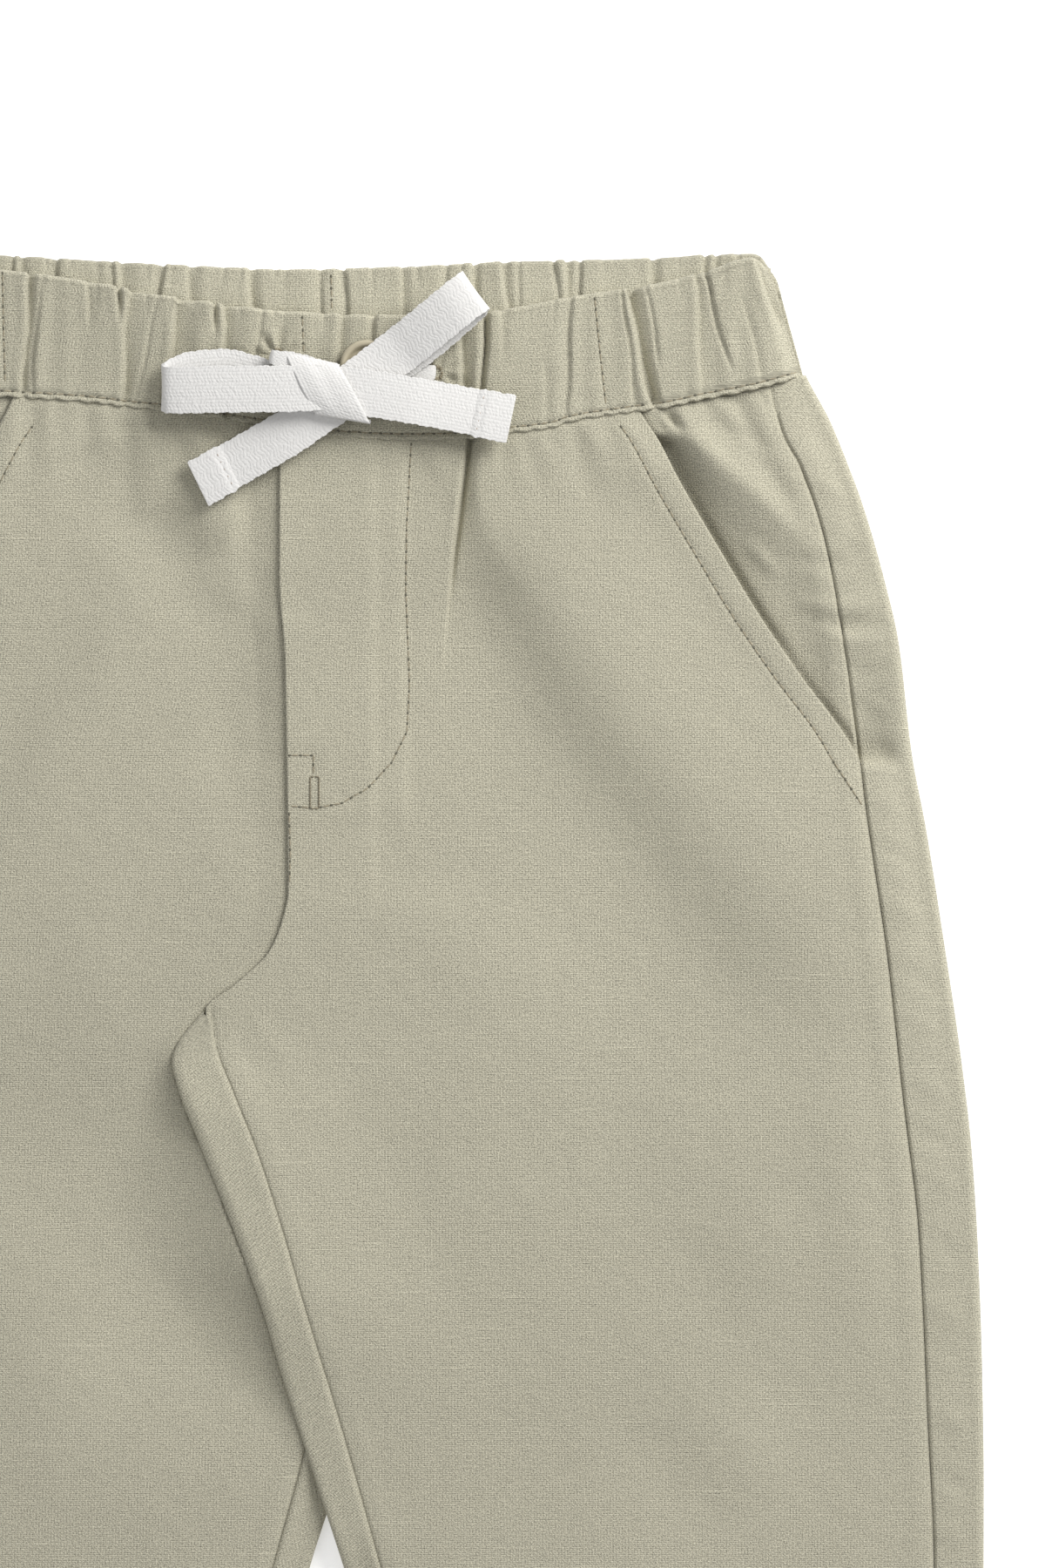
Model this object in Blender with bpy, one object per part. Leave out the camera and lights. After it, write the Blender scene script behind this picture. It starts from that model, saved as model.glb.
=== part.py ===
"""A child's linen drawstring trousers, laid flat with the front up.

The garment lies on its back panels on the plane z = 0, waist towards +Y. A place on it is given by
x, across from the middle of the waist, and by drop, down from the top of the waistband, both in
millimetres. The viewer's right leg lies over the viewer's left leg below the crotch. A leg's own
side distance runs outwards from the middle, so that both legs share one set of tables.
"""
import math
from collections import namedtuple

import bmesh
import bpy
from mathutils import Vector

MM = 0.001

# Driving sizes, in millimetres.
LENGTH = 676.0
WALL = 1.2
SEAM_GAP = 0.3
HALF_GAP = SEAM_GAP / 2
EDGE_RADIUS = 1.7
STACK_LIFT = 3.75
COVERED_TOP = 3.1
LIFT_MARGIN = 8.0
LIFT_RAMP = 18.0
BAND_WALL = 2.6
BAND_BACK_TOP = 2.6
BAND_FRONT_BASE = 2.9
BAND_MOUTH = 2.4
WAIST_HALF = 121.7
CROTCH_DROP = 207.0
POCKET_END_DROP = 140.2
POCKET_TUCK = 8.0
POCKET_CLEARANCE = 0.35
FLY_STITCH_X = 22.0
FLY_END_DROP = 152.0
FLY_RISE = 0.5
BUTTON_RADIUS = 7.2
BUTTON_HEIGHT = 2.6
BUTTON_X = 11.0
BUTTON_DROP = 31.5
BUTTON_BASE = 8.25
BUTTON_SIDES = 24
KNOT_BASE = BUTTON_BASE + BUTTON_HEIGHT + SEAM_GAP
KNOT_TOP = 17.0
KNOT_END_RISE = 1.0
TAPE_WIDTH = 12.7
TAPE_WALL = 1.2
LEAD_WIDTH = 8.0
# Heights of the cloth's upper surface and how far its slopes run.
LOOSE_TOP = 3.9
LOOSE_RISE = 1.5
EDGE_SLOPE = 34.0
INNER_SLOPE = 30.0
HIP_FADE = 0.45
UPPER_TOP = 3.3
UPPER_LEAST_TOP = 3.4
LOWER_LEAST_TOP = 3.0
LAP_DIP = 0.9
LAP_X = -12.0
LAP_REACH = 9.0
POCKET_LOW = 3.1
POCKET_RIDGE = 5.3
POCKET_AT_SEAM = 4.2
POCKET_RISE = 1.0
POCKET_RISE_REACH = 12.0
BAND_MOUTH_CLEAR = 0.4
BAND_SEAM_TOP = 5.9
BAND_SEAM_RISE = 0.9
BAND_EDGE_ROUNDING = 0.9
BAND_SEAM_SPREAD = 9.3
# Drops between which the upper leg comes to lie on the lower one and leaves it again.
LIFT_STARTS = (168.0, 184.0)
PRESS_STARTS = (162.0, 176.0)
STACK_ENDS = (352.0, 385.0)

Row = namedtuple("Row", "drop side")
Level = namedtuple("Level", "x value")
Fold = namedtuple("Fold", "x0 drop0 x1 drop1 half_width height")
Gather = namedtuple("Gather", "x_top x_seam depth half_width")
Way = namedtuple("Way", "x drop z")

# Outline and seams of one leg: drop, distance out from the middle.
OUTER_EDGE = [Row(*r) for r in (
    (0, 120.2), (15.8, 126.2), (33.6, 131.3), (48.2, 139.4), (66.7, 147.1), (90.5, 154.1),
    (107.3, 157.9), (137.8, 161.5), (158.4, 165.4), (194.4, 171.1), (221, 175), (247.9, 178.1),
    (274.8, 179.8), (310, 181), (340, 181.4), (390, 181.2), (450, 180), (540, 177.5), (676, 173))]
SIDE_SEAM = [Row(*r) for r in (
    (34, 121.8), (37.7, 122.6), (49.9, 125.8), (58.8, 130.6), (79.2, 137.3), (107.3, 142.6),
    (140.2, 147.1), (153, 148.6), (194.4, 154.6), (237, 159.4), (269.3, 163.2), (323, 165.8),
    (362.4, 167.5), (450, 167.8), (540, 166), (676, 162))]
POCKET_EDGE = [Row(*r) for r in (
    (40, 84.5), (44.9, 87.1), (52.1, 92.6), (63.6, 98.9), (80.4, 108.7), (99.6, 119.5),
    (117.1, 131), (132.5, 142.6), (140.2, 147.1))]
INNER_EDGE = [Row(*r) for r in (
    (203, -28.6), (205.2, -30.2), (210.7, -34.8), (217.9, -40.3), (222.5, -41.8), (229.9, -40.1),
    (244.8, -34.3), (266.6, -25.7), (290.4, -17), (310.1, -11.3), (342.2, -1), (362.4, 5.5),
    (400, 15.5), (450, 25.5), (540, 37.5), (676, 45))]
INSEAM = [Row(*r) for r in (
    (207, -31.9), (219, -30.2), (231, -25.7), (247.2, -19.2), (269.5, -12), (290.4, -6),
    (323, 3.8), (362.4, 14.9), (400, 25.2), (450, 35.5), (540, 47.5), (676, 55))]
# Centre front, then the edge of the upper leg where it laps over the lower one.
UPPER_FRONT_EDGE = [Row(*r) for r in (
    (46, -12.5), (60, -12.9), (89.8, -13), (111.6, -11.5), (137.5, -11), (175.7, -10.6),
    (183.1, -12), (192.2, -15.6), (200.6, -24), (CROTCH_DROP, -31.9))]
# The lower leg's front dives under the upper leg; sides are in the lower leg's own direction.
LOWER_FRONT_EDGE = [Row(*r) for r in (
    (46, 12.8), (60, 13.2), (89.8, 13.3), (111.6, 11.8), (137.5, 11.3), (172, 10.9),
    (178, 7), (184, 0), (190, -8), (196, -17), (202, -26), (CROTCH_DROP, -31.9))]
# Centre back, then the hidden rise to the inner fold of each leg.
UPPER_BACK_START = [Row(*r) for r in (
    (30, HALF_GAP), (160, HALF_GAP), (166, 2), (172, 5.8), (178, 6.2), (184, 3), (190, -5.5),
    (196, -15), (201, -23.5), (205.2, -28.5), (210.7, -33.1))]
LOWER_BACK_START = [Row(*r) for r in (
    (30, HALF_GAP), (160, HALF_GAP), (166, -1), (172, -4.2), (178, -8.2), (184, -13.5),
    (190, -19), (196, -24), (201, -27.5), (205.2, -30), (210.7, -33.1))]
# How far the lower leg reaches under the upper one, in x.
LOWER_REACH = [Row(*r) for r in (
    (160, 0), (166, 1.3), (172, 4.6), (178, 8.8), (184, 14.2), (190, 19.8), (196, 25.2),
    (201, 29.4), (205.2, 32.2), (210.7, 35.4), (217.9, 40.4), (222.5, 41.8), (229.9, 40.1),
    (244.8, 34.3), (266.6, 25.7), (290.4, 17), (310.1, 11.3), (342.2, 1), (362.4, -5.5),
    (400, -15.5))]
# Share of the inner fold's half round that the back panel goes through: drop, share.
INNER_TURN = [Row(*r) for r in ((200, 0.0), (203, 0.25), (CROTCH_DROP, 0.42), (212, 0.9), (219, 1.0))]

# Waistband edges across the front and back: x, drop.
FRONT_BAND_TOP = [Level(*r) for r in (
    (-123, 1.6), (-117, 1.8), (-104, 3.4), (-82, 5.5), (-66, 7.9), (-45, 11.8), (-28, 14.2),
    (-10, 16.3), (17, 17.3), (40, 16.9), (54, 14.8), (67, 12.2), (86, 9.4), (104, 5.3), (117, 1.4),
    (123, 1.6))]
FRONT_BAND_SEAM = [Level(*r) for r in (
    (-131, 35.2), (-112, 38.2), (-90, 39.8), (-67, 41.3), (-52, 43), (-45, 43.7), (-21, 47.3),
    (2, 50.9), (21.6, 51.8), (39, 51.4), (51, 49.9), (62, 48.5), (67, 46.8), (86, 43.9),
    (93, 43), (103, 40.8), (118, 37.9), (131, 34.3))]
BACK_BAND_TOP = [Level(*r) for r in (
    (-122, 1.2), (-117, 0.2), (-90, 0.5), (-73, 1.4), (-59, 2.2), (-41, 3.1), (-10, 4.3),
    (25, 3.4), (49, 2.2), (86, 1.4), (108, 0.2), (117, 0), (122, 1.2))]
BACK_BAND_SEAM = [Level(*r) for r in ((-131, 35.2), (-60, 37.5), (0, 38.5), (60, 37.5), (131, 35.2))]

# Creases of the gathered band: x at the band's top, x at its seam, depth, half width.
FRONT_GATHERS = [Gather(*r) for r in (
    (-116, -121, 0.8, 1.7), (-107, -111, 1.1, 1.9), (-98, -101, 0.9, 1.7), (-90, -91, 0.7, 1.6),
    (-82, -81, 1.6, 2.2), (-75, -74, 0.6, 1.6), (-66, -66, 0.9, 1.8), (-56, -55, 1.5, 2.3),
    (-49, -48, 0.6, 1.5), (-42.5, -42, 1.0, 1.8), (-29.3, -30, 1.0, 1.9), (-16, -17, 1.2, 2.0),
    (-6.5, -7, 1.1, 1.8), (3.4, 3, 1.0, 1.8), (13, 13, 0.8, 1.7), (27, 27, 1.0, 2.0),
    (39, 42, 1.7, 2.4), (54, 54, 0.6, 1.8), (67.4, 67.5, 1.0, 1.8), (83, 85, 1.3, 1.7),
    (88, 94, 1.6, 2.3), (102, 103.5, 0.9, 1.8), (105.5, 112, 1.0, 2.0), (116, 124, 0.5, 1.8))]
BACK_GATHERS = [Gather(*r) for r in (
    (-115, -121, 0.5, 1.8), (-106, -110, 0.6, 1.8), (-97, -99, 0.5, 1.8), (-86, -86, 0.7, 2.0),
    (-74, -74, 0.6, 1.8), (-59, -59, 0.8, 2.2), (-45, -45, 0.6, 1.8), (-39, -38, 0.7, 1.8),
    (-21, -21, 0.7, 1.9), (1.5, 1.5, 0.6, 1.8), (6, 7, 0.9, 2.0), (20.5, 21, 0.7, 1.9),
    (37, 37, 0.7, 1.9), (50, 50, 0.7, 1.9), (65, 65, 0.8, 1.9), (69.5, 70, 0.5, 1.7),
    (91, 92, 0.7, 1.9), (105, 107, 0.8, 2.0), (114, 119, 0.5, 1.8))]

# Largest folds on the fronts: ridges are positive, troughs negative.
FRONT_FOLDS = [Fold(*r) for r in (
    (39.5, 50, 33, 108, 4, -1.3), (44, 80, 92, 150, 11, -1.2), (92, 150, 137, 214, 13, -0.9),
    (66, 80, 108, 140, 12, 0.8), (108, 140, 140, 190, 12, 0.6), (50, 175, 95, 215, 22, 0.6),
    (20, 225, 62, 300, 13, -0.7), (62, 300, 95, 350, 14, -0.5), (105, 215, 92, 290, 14, -0.5),
    (135, 225, 142, 330, 10, -0.4), (-30, 60, -24, 150, 9, -0.9), (-66, 45, -62, 100, 6, -0.7),
    (-85, 120, -60, 62, 9, 0.7), (-52, 110, -64, 200, 11, 0.6), (-95, 90, -110, 175, 12, -0.8),
    (-140, 210, -70, 250, 14, -0.7), (-60, 285, -85, 350, 14, 0.5), (70, 390, 125, 420, 16, -0.6),
    (-120, 395, -60, 430, 15, -0.6), (85, 470, 140, 500, 16, -0.5), (-130, 480, -75, 510, 15, -0.5),
    (90, 560, 135, 590, 14, 0.4), (-125, 570, -80, 600, 14, 0.4), (-118, 75, -96, 120, 8, -0.6))]

PANEL_ROWS = (60, 72, 86, 100, 114, 128, POCKET_END_DROP, 152, 162, 168, 174, 180, 186, 192, 198,
              203, CROTCH_DROP, 212, 219, 228, 242, 262, 290, 320, 348, 385, 440, 500, 560, 620, 656,
              676)
POCKET_ROWS = PANEL_ROWS[:7]
BAND_ROWS = (0.0, 0.1, 0.5, 0.9, 1.0)
FRONT_COLUMNS = 11
BASE_COLUMNS = 8
FOLD_STEPS = 4
WRAP_COLUMNS = 6
POCKET_COLUMNS = 5
WRAP_STEP = 1.6
BACK_TOP_DROP = 36.0


# Middle line of each stretch of tape: x, drop, height of its middle.
TAPE_WAYS = {
    "tape_lead_left": [Way(*r) for r in ((-14.5, 29.4, 9.2), (-12, 31, 9.6), (-9.2, 32.6, 9.9))],
    "tape_lead_right": [Way(*r) for r in ((31, 34.6, 9.2), (25, 35, 9.6), (19, 35.4, 9.9))],
    "tape_loop_left": [Way(*r) for r in (
        (-8.7, 37.5, 14.8), (-20, 38, 15.2), (-34, 38.3, 14.9), (-41, 38, 14.2), (-43, 37.4, 12.9),
        (-41, 36, 11.8), (-36.5, 34.8, 11.2), (-26, 33.6, 11.3), (-10.3, 34.2, 11.8))],
    "tape_loop_right": [Way(*r) for r in (
        (6.5, 34.6, 15.2), (22, 23.4, 16), (35, 14, 15.8), (39.6, 10.8, 15.2), (41, 10, 13.9),
        (39.6, 11.4, 12.6), (35, 15.4, 11.9), (24, 24, 11.6), (9.4, 35.2, 11.8))],
    "tape_tail_left": [Way(*r) for r in (
        (-1.1, 47.1, 12.2), (-14, 53, 10.6), (-26, 59.5, 9.0), (-35.6, 64.6, 8.0))],
    "tape_tail_right": [Way(*r) for r in (
        (12.9, 40.3, 13.6), (26, 42.3, 12.6), (38, 44, 11.0), (50.7, 46, 9.8))],
}
# Plan of the knot's wrap: its two long sides, each from its upper to its lower end.
KNOT_LEFT_SIDE = ((-9.4, 28.8), (-1.9, 45.0))
KNOT_RIGHT_SIDE = ((3.4, 31.0), (12.4, 47.4))

LINEN = ("linen", (0.48, 0.455, 0.37), 0.85)
BUTTON_RESIN = ("button_resin", (0.52, 0.46, 0.36), 0.4)
COTTON_TAPE = ("cotton_tape", (0.86, 0.85, 0.83), 0.8)


def smooth_step(low, high, value):
    """0 below low, 1 above high, easing between them."""
    t = min(max((value - low) / (high - low), 0.0), 1.0)
    return t * t * (3 - 2 * t)


def mix(a, b, weight):
    return a + (b - a) * weight


def read_table(table, value):
    """Smooth curve through a table's two columns, without overshoot."""
    if value <= table[0][0]:
        return table[0][1]
    if value >= table[-1][0]:
        return table[-1][1]
    k = next(i for i in range(len(table) - 1) if value <= table[i + 1][0])
    slopes = [(table[i + 1][1] - table[i][1]) / (table[i + 1][0] - table[i][0])
              for i in range(len(table) - 1)]

    def tangent(i):
        if i in (0, len(table) - 1):
            return slopes[0] if i == 0 else slopes[-1]
        before, after = slopes[i - 1], slopes[i]
        return 0.0 if before * after <= 0 else 2 * before * after / (before + after)

    span = table[k + 1][0] - table[k][0]
    t = (value - table[k][0]) / span
    start, end = table[k][1], table[k + 1][1]
    return (start * (2 * t**3 - 3 * t**2 + 1) + end * (3 * t**2 - 2 * t**3)
            + span * tangent(k) * (t**3 - 2 * t**2 + t) + span * tangent(k + 1) * (t**3 - t**2))


def fold_height(x, drop):
    """Sum of the soft ridges and troughs at one place."""
    total = 0.0
    for fold in FRONT_FOLDS:
        run_x, run_drop = fold.x1 - fold.x0, fold.drop1 - fold.drop0
        along = ((x - fold.x0) * run_x + (drop - fold.drop0) * run_drop) / (run_x**2 + run_drop**2)
        nearest = min(max(along, 0.0), 1.0)
        away = math.hypot(x - fold.x0 - nearest * run_x, drop - fold.drop0 - nearest * run_drop)
        fade = 1.0 - 0.6 * abs(2 * nearest - 1) ** 2
        total += fold.height * fade * math.exp(-((away / fold.half_width) ** 2))
    return total


def gather_height(gathers, x, across):
    """Depth of the band's creases at x, with across 0 at its top edge and 1 at its seam."""
    return -sum(g.depth * math.exp(-(((x - mix(g.x_top, g.x_seam, across)) / g.half_width) ** 2))
                for g in gathers)


def lower_leg_weight(x, drop):
    """1 where the upper leg lies on the lower one, 0 away from it."""
    reach = read_table(LOWER_REACH, drop)
    started = smooth_step(*LIFT_STARTS, drop)
    ended = 1.0 - smooth_step(*STACK_ENDS, drop)
    return started * ended * smooth_step(-LIFT_RAMP, 0.0, reach + LIFT_MARGIN - x)


def lift(x, drop):
    """Height of the upper leg's underside."""
    return STACK_LIFT * lower_leg_weight(x, drop)


def upper_leg_edge(drop):
    """x of the upper leg's inner edge where it lies over the lower leg."""
    if drop < CROTCH_DROP:
        return read_table(UPPER_FRONT_EDGE, drop)
    return read_table(INNER_EDGE, drop)


def covered_weight(x, drop):
    """1 where the lower leg is pressed down by the upper one."""
    edge = upper_leg_edge(drop)
    started = smooth_step(*PRESS_STARTS, drop)
    ended = 1.0 - smooth_step(*STACK_ENDS, drop)
    return started * ended * smooth_step(-13.0, -1.0, x - edge)


def loose_level(side, drop):
    """Height of a front panel's upper surface where nothing lies on it or under it."""
    outer = read_table(OUTER_EDGE, drop)
    inner = read_table(INNER_EDGE, drop) if drop > CROTCH_DROP else 0.0
    inward = smooth_step(0, EDGE_SLOPE, outer - side)
    from_inner = smooth_step(0, INNER_SLOPE, side - inner) if drop > CROTCH_DROP else 1.0
    from_inner = mix(1.0, from_inner, smooth_step(CROTCH_DROP, 250, drop))
    hip = 1.0 - HIP_FADE * smooth_step(300, 640, drop)
    return LOOSE_TOP + LOOSE_RISE * hip * inward * from_inner


def pocket_rise(side, drop):
    """The opening's edge stands a little clear of the pocket panel."""
    edge = read_table(POCKET_EDGE, drop)
    shown = smooth_step(36, 60, drop) * (1.0 - smooth_step(104, 141, drop))
    return POCKET_RISE * shown * math.exp(-(((side - edge) / POCKET_RISE_REACH) ** 2))


def front_top(x, drop, leg):
    """Height of the front panels' upper surface; leg is 1 for the upper leg and -1 for the lower."""
    side = leg * x
    level = loose_level(side, drop) + fold_height(x, drop) + pocket_rise(side, drop)
    if leg > 0:
        fly = smooth_step(-1.5, 1.5, FLY_STITCH_X - x) * (1.0 - smooth_step(FLY_END_DROP, 164, drop))
        level += FLY_RISE * fly
        weight = lower_leg_weight(x, drop)
        level = mix(level, STACK_LIFT + UPPER_TOP + 0.3 * fold_height(x, drop), weight)
        return max(level, lift(x, drop) + UPPER_LEAST_TOP)
    lap = math.exp(-(((x - LAP_X) / LAP_REACH) ** 2)) * (1.0 - smooth_step(172, 190, drop))
    level -= LAP_DIP * lap
    level = mix(level, COVERED_TOP, covered_weight(x, drop))
    return max(level, LOWER_LEAST_TOP)


def place(x, drop, z):
    """World position of a point that is given in millimetres."""
    return (x * MM, (LENGTH / 2 - drop) * MM, z * MM)


def make_material(name, colour, roughness):
    material = bpy.data.materials.get(name) or bpy.data.materials.new(name)
    material.use_nodes = True
    shader = material.node_tree.nodes["Principled BSDF"]
    shader.inputs["Base Color"].default_value = (*colour, 1.0)
    shader.inputs["Roughness"].default_value = roughness
    shader.inputs["Metallic"].default_value = 0.0
    return material


def add_part(name, mesh, finish, collection):
    """Put one named piece in the garment's collection."""
    part = bpy.data.objects.new(name, mesh)
    mesh.materials.append(make_material(*finish))
    collection.objects.link(part)
    return part


def add_wall(name, columns, rows, outer, inner, finish, collection):
    """A closed wall from a grid: outer(i, j) and inner(i, j) give x, drop and height."""
    work = bmesh.new()
    bmesh.ops.create_grid(work, x_segments=columns, y_segments=rows, size=1.0)
    cell = work.verts.layers.int.new("cell")
    for vert in work.verts:
        i = round((vert.co.x + 1.0) / 2 * columns)
        j = round((vert.co.y + 1.0) / 2 * rows)
        vert[cell] = j * (columns + 1) + i
        vert.co = place(*outer(i, j))
    made = bmesh.ops.extrude_face_region(work, geom=work.faces[:], use_keep_orig=True)
    for vert in made["geom"]:
        if isinstance(vert, bmesh.types.BMVert):
            j, i = divmod(vert[cell], columns + 1)
            vert.co = place(*inner(i, j))
    work.verts.layers.int.remove(cell)
    bmesh.ops.recalc_face_normals(work, faces=work.faces[:])
    mesh = bpy.data.meshes.new(name)
    work.to_mesh(mesh)
    work.free()
    mesh.shade_smooth()
    mesh.set_sharp_from_angle(angle=math.radians(40))
    return add_part(name, mesh, finish, collection)


def front_point(leg, column, row):
    """x and drop of one grid point of a front panel."""
    inner_table = UPPER_FRONT_EDGE if leg > 0 else LOWER_FRONT_EDGE

    def inner(drop):
        if drop < CROTCH_DROP:
            return read_table(inner_table, drop) + HALF_GAP * 2
        return read_table(INSEAM, drop) + HALF_GAP

    def outer(drop):
        table = POCKET_EDGE if drop < POCKET_END_DROP else SIDE_SEAM
        return read_table(table, drop) - HALF_GAP

    def place_at(start, end, drop):
        if leg > 0:
            key = max(read_table(LOWER_REACH, drop) + LIFT_MARGIN, start + 5.0)
        else:
            key = max(-upper_leg_edge(drop) + 1.0, start + 5.0)
        places = [start, mix(start, key, 0.5), key, key + 13.0]
        left = FRONT_COLUMNS + 1 - len(places)
        places += [mix(places[-1], end, k / left) for k in range(1, left + 1)]
        return places[column]

    if row == 0:
        x = leg * place_at(inner(50), outer(45), PANEL_ROWS[0])
        return x, read_table(FRONT_BAND_SEAM, x) + SEAM_GAP
    drop = PANEL_ROWS[row - 1]
    return leg * place_at(inner(drop), outer(drop), drop), drop


def add_front(name, leg, collection):
    def outer(i, j):
        x, drop = front_point(leg, i, j)
        return x, drop, front_top(x, drop, leg)

    def inner(i, j):
        x, drop = front_point(leg, i, j)
        return x, drop, front_top(x, drop, leg) - WALL

    add_wall(name, FRONT_COLUMNS, len(PANEL_ROWS), outer, inner, LINEN, collection)


def side_strip_top(side, drop, leg):
    """Height of the back panel's strip that is turned over the outer edge."""
    seam = read_table(SIDE_SEAM, drop)
    outer = read_table(OUTER_EDGE, drop) - EDGE_RADIUS
    x = leg * (seam - HALF_GAP)
    if drop < POCKET_END_DROP:
        seam_top = pocket_panel_top(leg * seam, drop, leg)
    else:
        seam_top = front_top(x, drop, leg)
    return mix(seam_top, 2 * EDGE_RADIUS, smooth_step(0, 1, (side - seam) / (outer - seam)))


def inner_strip_top(side, drop, leg):
    """Height of the back panel's strip that is turned over the inner edge."""
    seam = read_table(INSEAM, drop)
    fold = read_table(INNER_EDGE, drop) + EDGE_RADIUS
    base = lift(leg * side, drop) if leg > 0 else 0.0
    part = smooth_step(0, 1, (side - fold) / max(seam - fold, 0.5))
    return mix(base + 2 * EDGE_RADIUS, front_top(leg * seam, drop, leg), part)


def base_places(start, end, leg, drop):
    """Side distances of a back panel's points on the table or on the lower leg."""
    reach = read_table(LOWER_REACH, drop) if leg > 0 else start
    first = max(reach + LIFT_MARGIN, start + 5.0)
    places = [first + LIFT_RAMP * k / 3 for k in range(4)]
    left = BASE_COLUMNS - len(places)
    return places + [mix(places[-1], end, k / left) for k in range(1, left + 1)]


def back_section(leg, drop, top_row):
    """Outer and inner points across one back panel, from its inner end to the side seam."""
    start_table = UPPER_BACK_START if leg > 0 else LOWER_BACK_START
    wrapped = smooth_step(CROTCH_DROP - 6, CROTCH_DROP + 2, drop)
    arc = math.pi * EDGE_RADIUS
    fold_x = read_table(INNER_EDGE, drop) + EDGE_RADIUS
    strip = max(read_table(INSEAM, drop) - HALF_GAP - fold_x, 0.0)
    wrap = arc * read_table(INNER_TURN, drop) + (strip if drop > CROTCH_DROP else 0.0)
    start_x = mix(read_table(start_table, drop), fold_x, wrapped) if drop < 210 else fold_x
    outer_x = read_table(OUTER_EDGE, drop) - EDGE_RADIUS
    seam_x = read_table(SIDE_SEAM, drop) + HALF_GAP
    points = []

    def base_at(side):
        return lift(leg * side, drop) if leg > 0 else 0.0

    for k in range(WRAP_COLUMNS):
        flat_side = start_x + WRAP_STEP * k
        flat = ((flat_side, base_at(flat_side)), (flat_side, base_at(flat_side) + WALL))
        turned_length = max(wrap, 0.01)
        fold_part = min(turned_length, arc)
        strip_part = turned_length - fold_part
        if k < 2:
            length = fold_part + strip_part * (1 - k / 2)
        else:
            length = fold_part * (WRAP_COLUMNS - 1 - k) / (WRAP_COLUMNS - 3)
        if length > arc - 0.01:
            side = fold_x + length - arc
            top = inner_strip_top(side, drop, leg)
            turned = ((side, top), (side, top - WALL))
        else:
            angle = length / EDGE_RADIUS
            centre = base_at(fold_x) + EDGE_RADIUS
            turned = tuple((fold_x - r * math.sin(angle), centre - r * math.cos(angle))
                           for r in (EDGE_RADIUS, EDGE_RADIUS - WALL))
        points.append(tuple(tuple(mix(f, t, wrapped) for f, t in zip(flat[n], turned[n]))
                            for n in (0, 1)))
    base_start = mix(start_x + WRAP_STEP * (WRAP_COLUMNS - 1), start_x, wrapped)
    for side in base_places(base_start, outer_x, leg, drop):
        points.append(((side, base_at(side)), (side, base_at(side) + WALL)))
    for k in range(1, FOLD_STEPS + 1):
        angle = math.pi * k / FOLD_STEPS
        points.append(tuple((outer_x + r * math.sin(angle), EDGE_RADIUS - r * math.cos(angle))
                            for r in (EDGE_RADIUS, EDGE_RADIUS - WALL)))
    for k in (1, 2):
        side = mix(outer_x, seam_x, k / 2)
        top = side_strip_top(side, drop, leg)
        points.append(((side, top), (side, top - WALL)))
    if not top_row:
        return [(out, inn, drop) for out, inn in points]
    turned_from = WRAP_COLUMNS + BASE_COLUMNS + FOLD_STEPS // 2
    return [(out, inn, read_table(FRONT_BAND_SEAM if k > turned_from else BACK_BAND_SEAM,
                                  leg * out[0]) + SEAM_GAP)
            for k, (out, inn) in enumerate(points)]


def add_back(name, leg, collection):
    sections = [back_section(leg, BACK_TOP_DROP, True)]
    sections += [back_section(leg, drop, False) for drop in PANEL_ROWS]

    def point(i, j, layer):
        section = sections[j][i]
        side, z = section[layer]
        return leg * side, section[2], z

    add_wall(name, WRAP_COLUMNS + BASE_COLUMNS + FOLD_STEPS + 1, len(PANEL_ROWS),
             lambda i, j: point(i, j, 0), lambda i, j: point(i, j, 1), LINEN, collection)


def pocket_panel_top(x, drop, leg):
    """Height of the hip piece inside the pocket opening: low at the edge, then a soft ridge."""
    side = leg * x
    edge = read_table(POCKET_EDGE, drop)
    seam = read_table(SIDE_SEAM, drop)
    ridge = mix(POCKET_LOW, POCKET_RIDGE, smooth_step(-2, 9, side - edge))
    open_width = smooth_step(4, 26, seam - edge)
    top = mix(POCKET_LOW, ridge, open_width)
    return mix(top, POCKET_AT_SEAM, open_width * smooth_step(seam - 12, seam, side))


def add_pocket_panel(name, leg, collection):
    def point(i, j):
        if j == 0:
            side = mix(86, 121.8, i / POCKET_COLUMNS)
            x = leg * side
            return x, read_table(FRONT_BAND_SEAM, x) + SEAM_GAP
        drop = POCKET_ROWS[j - 1]
        inner = read_table(POCKET_EDGE, drop) - POCKET_TUCK
        outer = read_table(SIDE_SEAM, drop) - HALF_GAP
        return leg * mix(inner, outer, i / POCKET_COLUMNS), drop

    def height(i, j):
        x, drop = point(i, j)
        edge = read_table(POCKET_EDGE, drop)
        under_front = front_top(x, drop, leg) - WALL - POCKET_CLEARANCE
        top = pocket_panel_top(x, drop, leg)
        return min(top, under_front) if leg * x < edge + 1.0 else top

    add_wall(name, POCKET_COLUMNS, len(POCKET_ROWS), lambda i, j: (*point(i, j), height(i, j)),
             lambda i, j: (*point(i, j), height(i, j) - WALL), LINEN, collection)


def band_columns(gathers, half_width):
    """Positions across the band: each crease and three places between it and the next."""
    tops = [-half_width] + [g.x_top for g in gathers] + [half_width]
    wide = half_width + BAND_SEAM_SPREAD
    seams = [-wide] + [g.x_seam for g in gathers] + [wide]
    places = []
    for k in range(len(tops) - 1):
        steps = 2 if k in (0, len(tops) - 2) else 3
        for n in range(steps):
            places.append((mix(tops[k], tops[k + 1], n / steps), mix(seams[k], seams[k + 1], n / steps)))
    places.append((tops[-1], seams[-1]))
    return places


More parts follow.
